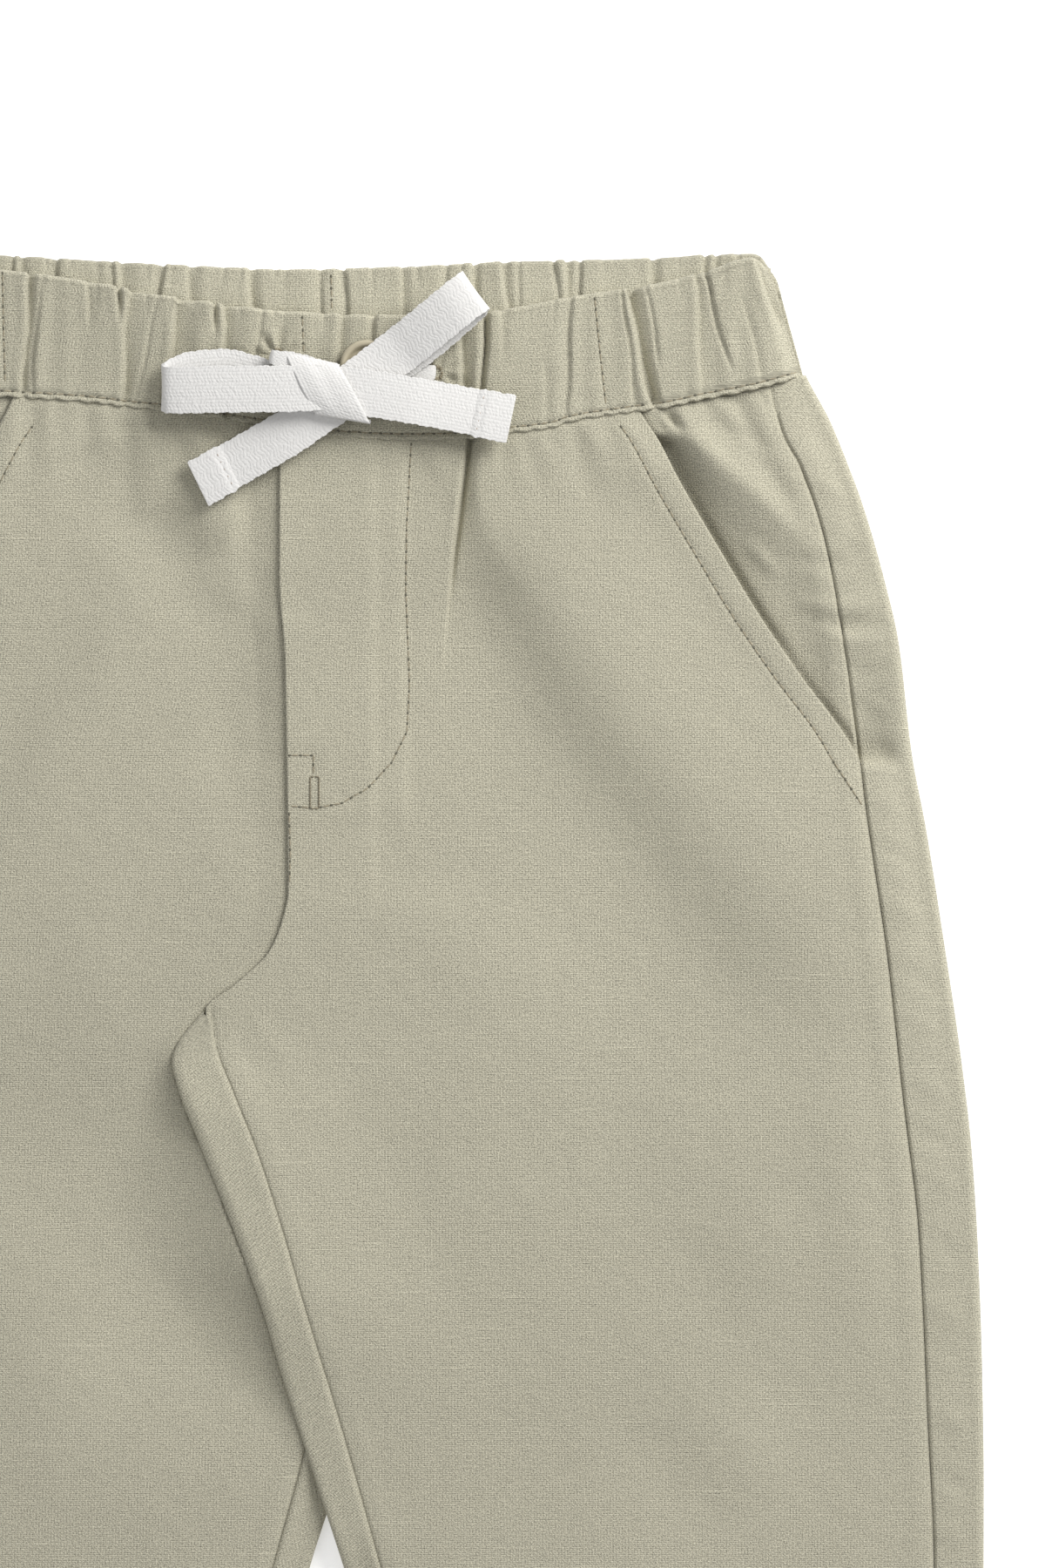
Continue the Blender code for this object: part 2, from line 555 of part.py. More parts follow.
def front_band_top_height(x, across):
    """Height of the front band's upper surface before its gathers."""
    middle = 1.0 - smooth_step(0, 1, abs(x) / WAIST_HALF)
    mouth = BAND_FRONT_BASE + BAND_WALL + BAND_MOUTH_CLEAR + BAND_MOUTH * middle
    at_seam = BAND_SEAM_TOP + BAND_SEAM_RISE * smooth_step(0, 1, (131 - abs(x)) / 40)
    rounded = BAND_EDGE_ROUNDING * (max(0.0, 0.12 - across) / 0.12) ** 2
    return mix(mouth, at_seam, smooth_step(0.2, 1.0, across)) - rounded


def add_front_band(name, collection):
    places = band_columns(FRONT_GATHERS, WAIST_HALF - 0.6)

    def point(i, j):
        across = BAND_ROWS[j]
        x = mix(*places[i], across)
        return x, mix(read_table(FRONT_BAND_TOP, x), read_table(FRONT_BAND_SEAM, x), across), across

    def top(i, j):
        x, drop, across = point(i, j)
        from_end = min(i, len(places) - 1 - i)
        turned = 1.6 if from_end == 0 else (0.3 if from_end == 1 else 0.0)
        return x, drop, front_band_top_height(x, across) + gather_height(FRONT_GATHERS, x, across) - turned

    def bottom(i, j):
        x, drop, across = point(i, j)
        return x, drop, max(front_band_top_height(x, across) - BAND_WALL, BAND_FRONT_BASE)

    add_wall(name, len(places) - 1, len(BAND_ROWS) - 1, top, bottom, LINEN, collection)


def add_back_band(name, collection):
    places = band_columns(BACK_GATHERS, WAIST_HALF)

    def point(i, j):
        across = BAND_ROWS[j]
        x = mix(*places[i], across)
        return x, mix(read_table(BACK_BAND_TOP, x), read_table(BACK_BAND_SEAM, x), across), across

    def top(i, j):
        x, drop, across = point(i, j)
        rounded = 0.5 if j in (0, len(BAND_ROWS) - 1) else 0.0
        return x, drop, BAND_BACK_TOP + gather_height(BACK_GATHERS, x, across) - rounded

    def bottom(i, j):
        x, drop, across = point(i, j)
        return x, drop, 1.0 if i in (0, len(places) - 1) else 0.0

    add_wall(name, len(places) - 1, len(BAND_ROWS) - 1, top, bottom, LINEN, collection)


def add_button(collection):
    """A turned disc with a raised rim and a shallow dish, sewn on above the fly."""
    profile = ((0.0, 1.5), (4.6, 1.5), (5.6, 2.4), (6.5, BUTTON_HEIGHT), (BUTTON_RADIUS, 1.7),
               (6.7, 0.5), (5.0, 0.0), (0.0, 0.0))
    work = bmesh.new()
    verts = [work.verts.new((r * MM, 0.0, z * MM)) for r, z in profile]
    edges = [work.edges.new(pair) for pair in zip(verts, verts[1:])]
    bmesh.ops.spin(work, geom=verts + edges, cent=(0, 0, 0), axis=(0, 0, 1),
                   angle=2 * math.pi, steps=BUTTON_SIDES, use_merge=True)
    bmesh.ops.remove_doubles(work, verts=work.verts[:], dist=0.00001)
    bmesh.ops.recalc_face_normals(work, faces=work.faces[:])
    mesh = bpy.data.meshes.new("button")
    work.to_mesh(mesh)
    work.free()
    mesh.shade_smooth()
    button = add_part("button", mesh, BUTTON_RESIN, collection)
    button.location = place(BUTTON_X, BUTTON_DROP, BUTTON_BASE)


def add_tape(name, way, collection):
    """A plain flat strip of tape along its middle line, its width square to the way it points."""
    last = len(way) - 1
    width = LEAD_WIDTH if "lead" in name else TAPE_WIDTH
    far = max(way, key=lambda w: math.hypot(w.x - way[0].x, w.drop - way[0].drop))
    across = Vector((way[0].drop - far.drop, far.x - way[0].x, 0.0)).normalized()

    def corner(i, j, layer):
        here = Vector(way[j])
        tangent = Vector(way[min(j + 1, last)]) - Vector(way[max(j - 1, 0)])
        normal = tangent.cross(across).normalized()
        return here + across * ((i - 0.5) * width) + normal * ((0.5 - layer) * TAPE_WALL)

    add_wall(name, 1, last, lambda i, j: corner(i, j, 0), lambda i, j: corner(i, j, 1),
             COTTON_TAPE, collection)


def add_knot(collection):
    """The knot as one plain arched solid, which the tape's stretches run up to."""
    columns, rows = 2, 6

    def plan(i, j):
        left = [mix(a, b, j / rows) for a, b in zip(*KNOT_LEFT_SIDE)]
        right = [mix(a, b, j / rows) for a, b in zip(*KNOT_RIGHT_SIDE)]
        return [mix(a, b, i / columns) for a, b in zip(left, right)]

    def top(i, j):
        arch = math.sin(math.pi * (0.12 + 0.76 * j / rows)) ** 0.7
        return (*plan(i, j), mix(KNOT_BASE + KNOT_END_RISE, KNOT_TOP, arch))

    add_wall("tape_knot", columns, rows, top, lambda i, j: (*plan(i, j), KNOT_BASE),
             COTTON_TAPE, collection)


def main():
    for old in list(bpy.data.objects):
        bpy.data.objects.remove(old, do_unlink=True)
    garment = bpy.data.collections.new("linen_drawstring_trousers")
    bpy.context.scene.collection.children.link(garment)
    for leg, hand in ((1, "right"), (-1, "left")):
        add_back(f"back_{hand}", leg, garment)
        add_front(f"front_{hand}", leg, garment)
        add_pocket_panel(f"pocket_panel_{hand}", leg, garment)
    add_front_band("waistband_front", garment)
    add_back_band("waistband_back", garment)
    add_button(garment)
    for name, way in TAPE_WAYS.items():
        add_tape(name, way, garment)
    add_knot(garment)


main()
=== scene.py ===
"""A child's linen drawstring trousers laid flat, front up: cloth, sewing, drawstring, floor and light.

Places on the garment are given in millimetres by x, across from the middle of the waist, and by drop,
down from the top of the waistband. A leg's own side distance runs outwards from the middle.
"""
import math
from collections import namedtuple

import bmesh
import bpy
import numpy as np
from mathutils import Matrix, Vector


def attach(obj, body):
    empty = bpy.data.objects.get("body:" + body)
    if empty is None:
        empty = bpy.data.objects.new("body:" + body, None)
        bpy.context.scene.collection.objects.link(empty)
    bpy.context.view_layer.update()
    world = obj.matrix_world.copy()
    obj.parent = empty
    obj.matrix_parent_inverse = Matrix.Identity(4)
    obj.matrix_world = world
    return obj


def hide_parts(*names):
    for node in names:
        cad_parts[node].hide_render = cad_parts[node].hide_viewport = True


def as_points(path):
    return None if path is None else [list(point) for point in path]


bl_info = {
    "name": "Linen drawstring trousers",
    "version": (1, 0, 0),
    "blender": (4, 5, 0),
    "location": "3D View > Sidebar > Trousers",
    "description": "Builds linen drawstring trousers laid flat, with their sewing, cord, floor and light",
    "category": "Object",
}

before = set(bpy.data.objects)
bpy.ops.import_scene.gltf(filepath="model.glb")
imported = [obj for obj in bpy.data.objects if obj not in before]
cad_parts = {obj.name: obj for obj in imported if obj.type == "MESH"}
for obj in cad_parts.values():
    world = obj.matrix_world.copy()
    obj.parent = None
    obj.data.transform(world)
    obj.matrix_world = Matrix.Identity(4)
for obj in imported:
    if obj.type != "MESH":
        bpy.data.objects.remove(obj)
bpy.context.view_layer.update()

MM = 0.001
LENGTH = 676.0

# Both legs: radius of the inner and outer folds, and the places along them.
EDGE_RADIUS = 1.7
SIDE_RADIUS = 2.3
CROTCH_DROP = 207.0
POCKET_END_DROP = 140.2
POCKET_STITCH_IN = 7.5
HEM_DEPTH = 20.0
SEAM_GAP = 0.6
FRONT_TOP_DROP = 44.0
BACK_TOP_DROP = 36.0
ROWS_START = 60.0
HEAD_ROWS = 18
FRONT_FLOOR = 2.4
HIP_FLOOR = 1.0

# Where the upper leg lies on the lower one, down to where they part again.
STACK_LIFT = 3.75
COVERED_TOP = 3.2
LIFT_MARGIN = 8.0
LIFT_RAMP = 18.0
LEGS_PART = (352, 385)

# The waistband, half as wide as the waist at its top and flared towards its seam.
WAIST_HALF = 121.7
BAND_FLARE = 9.3
BACK_BAND_DEPTH = 36.0
EYELET_HOLE = 0.8
EYELET_RIM = 1.7
EYELET_STITCHES = 22

# The mock fly, the button and the tape.
FLY_STITCH_X = 22.0
FLY_END_DROP = 152.0
FLY_RISE = 0.6
BUTTON_RADIUS = 7.2
BUTTON_HEIGHT = 2.6
BUTTON_X = 11.0
BUTTON_DROP = 31.5
BUTTON_BASE = 8.5
TAPE_WIDTH = 12.7
TAPE_HEM = 8.4
TAPE_ROWS = 260

# Grids: places along the inner wrap of a back, from its strip to its fold, and what each column adds
# where the wrap lies flat; columns whose weave is turned; rows under, round and over a band.
INNER_PARTS = np.concatenate((1 + np.linspace(1, 0, 14, endpoint=False), np.linspace(1, 0, 10)))
INNER_STEP = 0.35
BACK_TURNED_COLUMNS = 26
BACK_WEAVE_TURN = 0.5
BAND_COLUMNS = 511
BAND_UNDER_ROWS = 4
BAND_EDGE_ROWS = 11
BAND_OVER_ROWS = (32, 12)

# Longer than any single stitch's line, so that one stitch is laid on it.
SINGLE_STITCH = 9.0

# The stage: a floor just under the cloth, a soft light beyond the waist and a weak one opposite.
FLOOR_GAP = 0.0003
FLOOR_SIZE = 4.0
SKY_STRENGTH = 0.45
CAMERA_PLACE = (0.054, 0.1916)
CAMERA_LENS = 150.0

Row = namedtuple("Row", "drop side")
Level = namedtuple("Level", "x value")
Crease = namedtuple("Crease", "half_width height points")
Pleat = namedtuple("Pleat", "x_top x_seam depth width_top width_seam side start end")
Slope = namedtuple("Slope", "width_start width_end height run points")
TapeWay = namedtuple("TapeWay", "x drop z width_angle width")
BackRows = namedtuple("BackRows", "leg drop fold start outer seam wrapped")
Lamp = namedtuple("Lamp", "name place aim size power colour")

# Outline and seams of one leg: drop, distance out from the middle.
OUTER_EDGE = [Row(*r) for r in (
    (0, 120.2), (15.8, 126.2), (33.6, 131.3), (48.2, 139.4), (66.7, 147.1), (90.5, 154.1),
    (107.3, 157.9), (137.8, 161.5), (158.4, 165.4), (194.4, 171.1), (221, 175), (247.9, 178.1),
    (274.8, 179.8), (310, 181), (340, 181.4), (390, 181.2), (450, 180), (540, 177.5), (676, 173))]
SIDE_SEAM = [Row(*r) for r in (
    (34, 121.8), (37.7, 122.6), (49.9, 125.8), (58.8, 130.6), (79.2, 137.3), (107.3, 142.6),
    (140.2, 147.1), (153, 148.6), (194.4, 154.6), (237, 159.4), (269.3, 163.2), (323, 165.8),
    (362.4, 167.5), (450, 167.8), (540, 166), (676, 162))]
POCKET_EDGE = [Row(*r) for r in (
    (40, 84.5), (44.9, 86.7), (52.1, 91.5), (63.6, 97.6), (80.4, 107.4), (99.6, 119.0),
    (117.1, 131), (132.5, 142.6), (140.2, 147.1))]
INNER_EDGE = [Row(*r) for r in (
    (203, -28.6), (205.2, -30.2), (210.7, -34.8), (217.9, -40.3), (222.5, -41.8), (229.9, -40.1),
    (244.8, -34.3), (266.6, -25.7), (290.4, -17), (310.1, -11.3), (342.2, -1), (362.4, 5.5),
    (400, 15.5), (450, 25.5), (540, 37.5), (676, 45))]
INSEAM = [Row(*r) for r in (
    (207, -31.9), (219, -30.2), (231, -25.7), (247.2, -19.2), (269.5, -12), (290.4, -6),
    (323, 3.8), (362.4, 14.9), (400, 25.2), (450, 35.5), (540, 47.5), (676, 55))]
# Centre front, then the edge of the upper leg where it laps over the lower one.
UPPER_FRONT_EDGE = [Row(*r) for r in (
    (46, -12.5), (60, -12.9), (89.8, -13), (111.6, -11.5), (137.5, -11), (175.7, -10.6),
    (183.1, -12), (192.2, -15.6), (200.6, -24), (CROTCH_DROP, -31.9))]
LOWER_FRONT_EDGE = [Row(*r) for r in (
    (46, 12.8), (60, 13.2), (89.8, 13.3), (111.6, 11.8), (137.5, 11.3), (172, 10.9),
    (178, 7), (184, 0), (190, -8), (196, -17), (202, -26), (CROTCH_DROP, -31.9))]
# Centre back, then the hidden rise to the inner fold of each leg.
UPPER_BACK_START = [Row(*r) for r in (
    (30, 0), (160, 0), (166, 2), (172, 5.8), (178, 6.2), (184, 3), (190, -5.5),
    (196, -15), (201, -23.5), (205.2, -28.5), (210.7, -33.1))]
LOWER_BACK_START = [Row(*r) for r in (
    (30, 0), (160, 0), (166, -1), (172, -4.2), (178, -8.2), (184, -13.5),
    (190, -19), (196, -24), (201, -27.5), (205.2, -30), (210.7, -33.1))]
LOWER_REACH = [Row(*r) for r in (
    (160, 0), (166, 1.3), (172, 4.6), (178, 8.8), (184, 14.2), (190, 19.8), (196, 25.2),
    (201, 29.4), (205.2, 32.2), (210.7, 35.4), (217.9, 40.4), (222.5, 41.8), (229.9, 40.1),
    (244.8, 34.3), (266.6, 25.7), (290.4, 17), (310.1, 11.3), (342.2, 1), (362.4, -5.5),
    (400, -15.5))]
INNER_TURN = [Row(*r) for r in ((200, 0.0), (203, 0.25), (CROTCH_DROP, 0.42), (212, 0.9), (219, 1.0))]

# Waistband edges across the front and back: x, drop.
FRONT_BAND_TOP = [Level(*r) for r in (
    (-123, 1.6), (-117, 1.8), (-104, 3.4), (-82, 5.5), (-66, 7.9), (-45, 11.8), (-28, 14.2),
    (-10, 16.3), (17, 17.3), (40, 16.9), (54, 14.8), (67, 12.2), (86, 9.4), (104, 5.3), (117, 1.4),
    (123, 1.6))]
FRONT_BAND_SEAM = [Level(*r) for r in (
    (-131, 35.2), (-112, 38.2), (-90, 39.8), (-67, 41.3), (-52, 43), (-45, 43.7), (-21, 47.3),
    (2, 50.9), (21.6, 51.8), (39, 51.4), (51, 49.9), (62, 48.5), (67, 46.8), (86, 43.9),
    (93, 43), (103, 40.8), (118, 37.9), (131, 34.3))]
BACK_BAND_TOP = [Level(*r) for r in (
    (-122, 1.2), (-117, 0.2), (-90, 0.5), (-73, 1.4), (-59, 2.2), (-41, 3.1), (-10, 4.3),
    (25, 3.4), (49, 2.2), (86, 1.4), (108, 0.2), (117, 0), (122, 1.2))]
BACK_BAND_SEAM = [Level(*r) for r in ((-131, 35.2), (-60, 37.5), (0, 38.5), (60, 37.5), (131, 35.2))]

# Small pleats of the gathered band: x at the band's top and at its seam, depth, width of the soft
# side at the top and at the seam, the side it falls on, and the part of the height it runs through.
FRONT_PLEATS = [Pleat(*r) for r in (
    (-116, -120, 1.0, 3.0, 5.0, 1, 0.0, 1.0), (-108, -111, 0.8, 4.0, 3.0, -1, 0.0, 0.8),
    (-100, -102, 1.2, 4.5, 3.5, 1, 0.0, 1.0), (-93, -95, 0.6, 2.5, 2.5, 1, 0.3, 1.0),
    (-81.9, -84, 1.5, 3.2, 2.8, 1, 0.0, 1.0), (-78.2, -81.2, 0.5, 1.2, 1.2, -1, 0.0, 1.0),
    (-65.8, -65.4, 0.7, 3.0, 3.0, 1, 0.0, 0.3), (-57.7, -56.6, 1.1, 1.6, 1.6, 1, 0.0, 0.22),
    (-54.4, -55.6, 1.5, 8.2, 2.6, 1, 0.0, 1.0), (-46.2, -53.0, 0.4, 1.2, 1.2, -1, 0.0, 1.0),
    (-40.8, -45.4, 1.4, 8.5, 6.0, 1, 0.0, 1.0), (-30.6, -30.2, 1.2, 1.6, 1.6, 1, 0.0, 0.2),
    (-27.9, -28.4, 1.7, 7.5, 5.0, 1, 0.0, 1.0), (-17.6, -22.4, 0.5, 1.5, 1.5, -1, 0.0, 0.7),
    (4.0, 4.6, 0.9, 3.2, 2.5, 1, 0.0, 0.7), (13.2, 13, 0.8, 2.6, 2.6, -1, 0.0, 0.8),
    (25.5, 26, 1.0, 3.0, 3.0, 1, 0.0, 0.8), (37.2, 38.8, 1.5, 4.0, 3.2, 1, 0.0, 1.0),
    (43.7, 42.2, 2.1, 1.7, 1.2, 1, 0.0, 1.0), (48.0, 48.4, 0.5, 2.4, 2.4, 1, 0.0, 0.35),
    (61.0, 60.4, 0.25, 2.6, 2.6, 1, 0.5, 1.0), (67.4, 66.2, 0.7, 4.0, 3.6, -1, 0.0, 0.95),
    (81.3, 85.2, 0.7, 1.0, 1.2, 1, 0.0, 1.0), (83.4, 90.2, 2.7, 5.0, 3.2, 1, 0.0, 1.0),
    (88.3, 93.6, 0.6, 0.9, 0.9, -1, 0.0, 0.6), (101.8, 103.3, 0.9, 3.0, 9.5, 1, 0.0, 1.0),
    (104.4, 113.4, 0.9, 0.9, 1.4, -1, 0.0, 0.75), (112.5, 120.5, 0.4, 2.0, 2.4, 1, 0.35, 1.0),
    (118.4, 129.0, 0.9, 2.2, 2.4, 1, 0.0, 0.5))]
BACK_PLEATS = [Pleat(*r) for r in (
    (-115, -119, 0.7, 2.5, 2.5, 1, 0.0, 1.0), (-104, -107, 0.5, 2.5, 2.5, -1, 0.0, 1.0),
    (-97, -99, 0.7, 3.5, 3.0, 1, 0.0, 1.0), (-86.6, -86.6, 0.6, 2.0, 2.0, -1, 0.0, 1.0),
    (-84.4, -84.3, 0.6, 2.5, 2.5, 1, 0.0, 1.0), (-74.3, -75.8, 0.9, 4.0, 4.0, -1, 0.0, 1.0),
    (-59.3, -58.4, 0.6, 2.0, 2.0, -1, 0.0, 1.0), (-57.0, -56.9, 0.7, 4.5, 4.5, 1, 0.0, 1.0),
    (-45.3, -47.4, 1.1, 3.0, 3.0, -1, 0.0, 1.0), (-38.2, -35.8, 0.9, 4.5, 4.5, 1, 0.0, 1.0),
    (-21.2, -20.6, 1.1, 3.5, 3.5, 1, 0.0, 1.0), (-1.5, -1.0, 0.5, 2.0, 2.0, -1, 0.0, 1.0),
    (4.8, 6.6, 1.1, 3.0, 3.0, -1, 0.0, 1.0), (20.5, 21, 0.8, 2.6, 2.6, 1, 0.0, 1.0),
    (33.0, 33, 0.5, 2.4, 2.4, -1, 0.0, 1.0), (40.3, 43.4, 1.0, 2.2, 2.2, 1, 0.0, 1.0),
    (48.5, 51.8, 1.0, 2.6, 2.6, 1, 0.0, 1.0), (53.4, 53.4, 0.4, 1.4, 1.4, -1, 0.0, 1.0),
    (63.0, 66.4, 0.5, 1.6, 1.6, -1, 0.0, 1.0), (66.0, 66.4, 1.1, 3.0, 3.0, 1, 0.0, 1.0),
    (69.8, 71.6, 1.2, 2.0, 2.0, -1, 0.0, 1.0), (89.4, 93.0, 1.2, 3.2, 3.2, 1, 0.0, 1.0),
    (104.3, 104.8, 0.8, 1.8, 1.8, 1, 0.0, 1.0), (107.6, 109.0, 0.9, 1.8, 1.8, 1, 0.0, 1.0),
    (114, 118, 0.5, 1.8, 1.8, -1, 0.0, 1.0))]

# Folds of the backs' underside, lifted off the surface: half width, height, middle line.
BACK_FOLDS = [Crease(*r) for r in (
    (11, 0.8, ((24, 70), (58, 120), (86, 168))),
    (12, 0.7, ((-20, 84), (-52, 126), (-92, 152))),
    (10, 0.6, ((112, 74), (126, 128), (134, 176))),
    (10, 0.5, ((-104, 66), (-118, 118))),
    (13, 0.8, ((48, 232), (86, 262), (128, 276))),
    (12, 0.7, ((-60, 240), (-104, 262), (-140, 256))),
    (14, 0.6, ((70, 352), (118, 384))),
    (13, 0.7, ((-66, 338), (-112, 374))),
    (14, 0.5, ((96, 486), (138, 512))),
    (13, 0.6, ((-132, 452), (-84, 474))),
    (12, 0.5, ((84, 590), (124, 608))),
    (12, 0.4, ((-92, 566), (-130, 580))))]
# Soft folds of the fronts: half width, height (troughs are negative), middle line as x and drop.
SOFT_FOLDS = [Crease(*r) for r in (
    (11, 0.6, ((118, 262), (124, 290))),
    (10, -0.6, ((98, 268), (104, 292))),
    (12, 1.0, ((106, 318), (122, 344))),
    (11, -0.9, ((86, 322), (98, 348))),
    (9, 0.8, ((140, 226), (148, 300))),
    (7, 1.2, ((78, 50), (90, 66))),
    (9, 1.5, ((-34, 50), (-28, 76), (-20, 96))),
    (10, -1.5, ((-52, 56), (-44, 84), (-34, 100))),
    (11, 1.3, ((-50, 104), (-72, 132), (-88, 156))),
    (10, -1.1, ((-66, 98), (-84, 124), (-98, 146))),
    (9, 0.8, ((-96, 96), (-86, 70), (-80, 50))),
    (13, -1.0, ((-98, 150), (-112, 190))),
    (14, 0.9, ((-60, 168), (-70, 214))),
    (15, -1.0, ((-146, 208), (-110, 236), (-70, 258))),
    (14, 0.9, ((-60, 290), (-82, 345))),
    (9, -0.9, ((-118, 74), (-97, 122))),
    (13, -0.9, ((70, 392), (124, 424))),
    (15, -0.9, ((-122, 396), (-62, 432))),
    (17, 0.7, ((80, 440), (120, 452), (160, 440))),
    (15, -0.8, ((82, 470), (142, 502))),
    (14, -0.8, ((-132, 480), (-76, 512))),
    (14, 0.7, ((90, 562), (136, 592))),
    (13, 0.7, ((-126, 572), (-80, 602))),
    (9, 0.6, ((96, 620), (128, 640))),
    (10, -0.6, ((-100, 616), (-138, 634))))]
# Broad soft slopes, each a dark band where the cloth climbs towards the upper right: width of the
# climb at the line's start and end, height, reach of the level ground beside it, and its middle line.
SOFT_SLOPES = [Slope(*r) for r in (
    (10, 19, 4.9, 54, ((38, 74), (47, 89), (55, 103), (63, 118), (72, 133), (83, 147), (93, 161), (104, 175),
                      (115, 190), (125, 205), (134, 222), (140, 236))),
    (11, 14, 1.0, 40, ((2, 230), (22, 246), (36, 262), (46, 280), (56, 306))),
    (9, 9, 0.5, 30, ((92, 232), (94, 262))),
    (6, 6, 1.2, 26, ((-41, 66), (-36, 76), (-30, 84))),
    (4.5, 8.5, 1.0, 26, ((-18, 96), (-21, 114), (-23, 130), (-22, 150))),
    (4, 4, 0.8, 18, ((-20, 66), (-20, 78), (-20, 92))),
    (6, 5, 1.4, 22, ((-60, 50), (-55, 62), (-50, 78))))]
# How deep the lower leg's cloth dips along the upper one's edge, by drop.
EDGE_DIP = [Row(*r) for r in (
    (50, 0.0), (64, 1.5), (78, 1.6), (94, 1.6), (108, 1.6), (122, 1.4), (136, 1.1), (148, 0.3), (162, 0.7),
    (178, 0.8), (190, 0.9), (199, 1.0), (208, 0.9), (218, 0.0))]
# Further down it climbs to the upper leg's edge: height and reach of the climb, by drop.
EDGE_CLIMB = [Row(*r) for r in (
    (206, 0.0), (214, 1.1), (226, 2.4), (238, 5.4), (251, 7.1), (264, 7.4), (277, 7.6), (290, 5.8),
    (303, 3.8), (316, 1.8), (329, 1.0), (346, 0.0))]
EDGE_REACH = [Row(*r) for r in (
    (214, 8.0), (226, 9.0), (238, 14.0), (251, 30.0), (264, 36.0), (277, 34.0), (290, 26.0), (303, 22.0),
    (316, 13.0), (329, 9.0))]
# The deep tuck beside the fly: x and drop of its edge, then how deep and how wide the cloth falls
# away beyond the edge.
TUCK_EDGE = ((39.4, 48), (38.2, 58), (36.6, 70), (34.8, 84), (33.2, 100), (31.8, 118))
TUCK_DEPTH = [Row(*r) for r in (
    (48, 4.6), (64, 4.5), (74, 4.2), (82, 3.2), (92, 1.8), (104, 0.7), (118, 0.0))]
TUCK_WIDTH = [Row(*r) for r in (
    (48, 4.4), (62, 4.6), (72, 7.6), (80, 12.0), (90, 19.0), (104, 28.0), (118, 34.0))]
# Sharper creases of the fronts and the hip pieces.
SHARP_CREASES = [Crease(*r) for r in (
    (2.6, 0.5, ((-24, 56), (-27, 80))),
    (2.0, -0.5, ((140, 98), (156, 104))),
    (1.7, -0.4, ((142, 108), (157, 112))),
    (1.6, 0.4, ((141, 103), (156, 108))),
    (2.2, -0.4, ((-150, 118), (-139, 110))),
    (2.0, 0.3, ((-151, 130), (-143, 126))),
    (3.0, -0.4, ((-27, 214), (-16, 232))),
    (2.6, 0.4, ((-24, 208), (-8, 226))))]
# Short gathers hanging from the band's seam: x at the seam, x at the end, length, depth, half width.
WAIST_GATHERS = (
    (-121, -124, 14, 0.6, 1.6), (-111, -113, 19, 0.8, 1.7), (-101, -103, 11, 0.5, 1.5),
    (-91, -94, 24, 0.8, 1.9), (-81, -84, 30, 1.0, 2.2), (-74, -75, 12, 0.4, 1.5),
    (-66, -68, 22, 0.7, 2.0), (-55, -55, 31, 1.0, 2.3), (-48, -46, 13, 0.5, 1.6),
    (-42, -38, 26, 0.9, 2.2), (-30, -24, 20, 0.8, 2.0), (-21, -19, 12, 0.5, 1.7),
    (-6, -5, 9, 0.3, 1.8), (6, 6, 8, 0.25, 1.8), (27, 26.5, 15, 0.45, 1.7), (48, 50, 17, 0.6, 2.0),
    (54, 59, 21, 0.6, 2.1), (61, 66, 13, 0.4, 1.7), (67.5, 73, 24, 0.8, 2.0), (76, 81, 12, 0.4, 1.7),
    (85, 90, 10, 0.5, 1.5), (94, 101, 20, 0.9, 1.8), (99, 107, 12, 0.5, 1.6), (103.5, 113, 22, 0.8, 1.8),
    (112, 121, 18, 0.8, 1.7), (118, 127, 12, 0.5, 1.5), (124, 132, 15, 0.6, 1.5))

# Inside the pocket opening: the hip piece's level by drop, below and above its slanting ridge.
HIP_LOW = [Row(*r) for r in (
    (40, 4.8), (49.6, 4.3), (52.8, 1.0), (62, 1.1), (74, 1.8), (86, 2.2), (105, 2.6), (140, 2.8))]
HIP_HIGH = [Row(*r) for r in ((40, 5.2), (52, 7.2), (62, 7.7), (74, 7.0), (88, 5.0), (104, 4.1), (140, 3.9))]
HIP_SEAM = [Row(*r) for r in ((40, 5.5), (60, 6.3), (80, 5.9), (100, 5.0), (140, 4.6))]
HIP_GROOVE = [Row(*r) for r in (
    (58, 0.0), (66, 0.6), (74, 1.0), (92, 1.3), (104, 1.2), (114, 0.6), (122, 0.7), (130, 1.1),
    (137, 1.2), (141, 0.0))]
HIP_RIDGE = ((93.2, 42.6), (99.0, 49.6), (107.0, 57.2), (115.6, 65.4), (125.4, 74.4), (135.0, 83.6))
# Small wrinkles across the hip piece and the side strip: side distance and drop.
HIP_WRINKLES = [Crease(*r) for r in (
    (1.2, -2.2, ((93.6, 43.8), (97.4, 48.4))),
    (1.5, -0.9, ((90.6, 45.4), (94.2, 49.6))),
    (2.2, -0.3, ((108, 47), (117, 56), (124, 66))),
    (2.8, -0.6, ((112.5, 43), (118.5, 54), (126.5, 66), (128, 68))),
    (5.0, 0.3, ((124, 41), (127, 48), (131, 58), (133.5, 65))),
    (2.0, -0.4, ((114, 44), (119, 52))),
    (2.0, 0.7, ((116, 80), (124, 88))),
    (2.0, -0.6, ((104, 42), (112, 49), (122, 54))),
    (2.2, -0.5, ((128, 84), (138, 86), (150, 81))),
    (2.0, 0.6, ((130, 96), (141, 98), (154, 94))),
    (1.7, -0.6, ((134, 101), (143, 103), (155, 101))),
    (1.6, 0.4, ((139, 106), (147, 108), (156, 105))),
    (1.5, -0.4, ((142, 114), (150, 116), (158, 113))))]
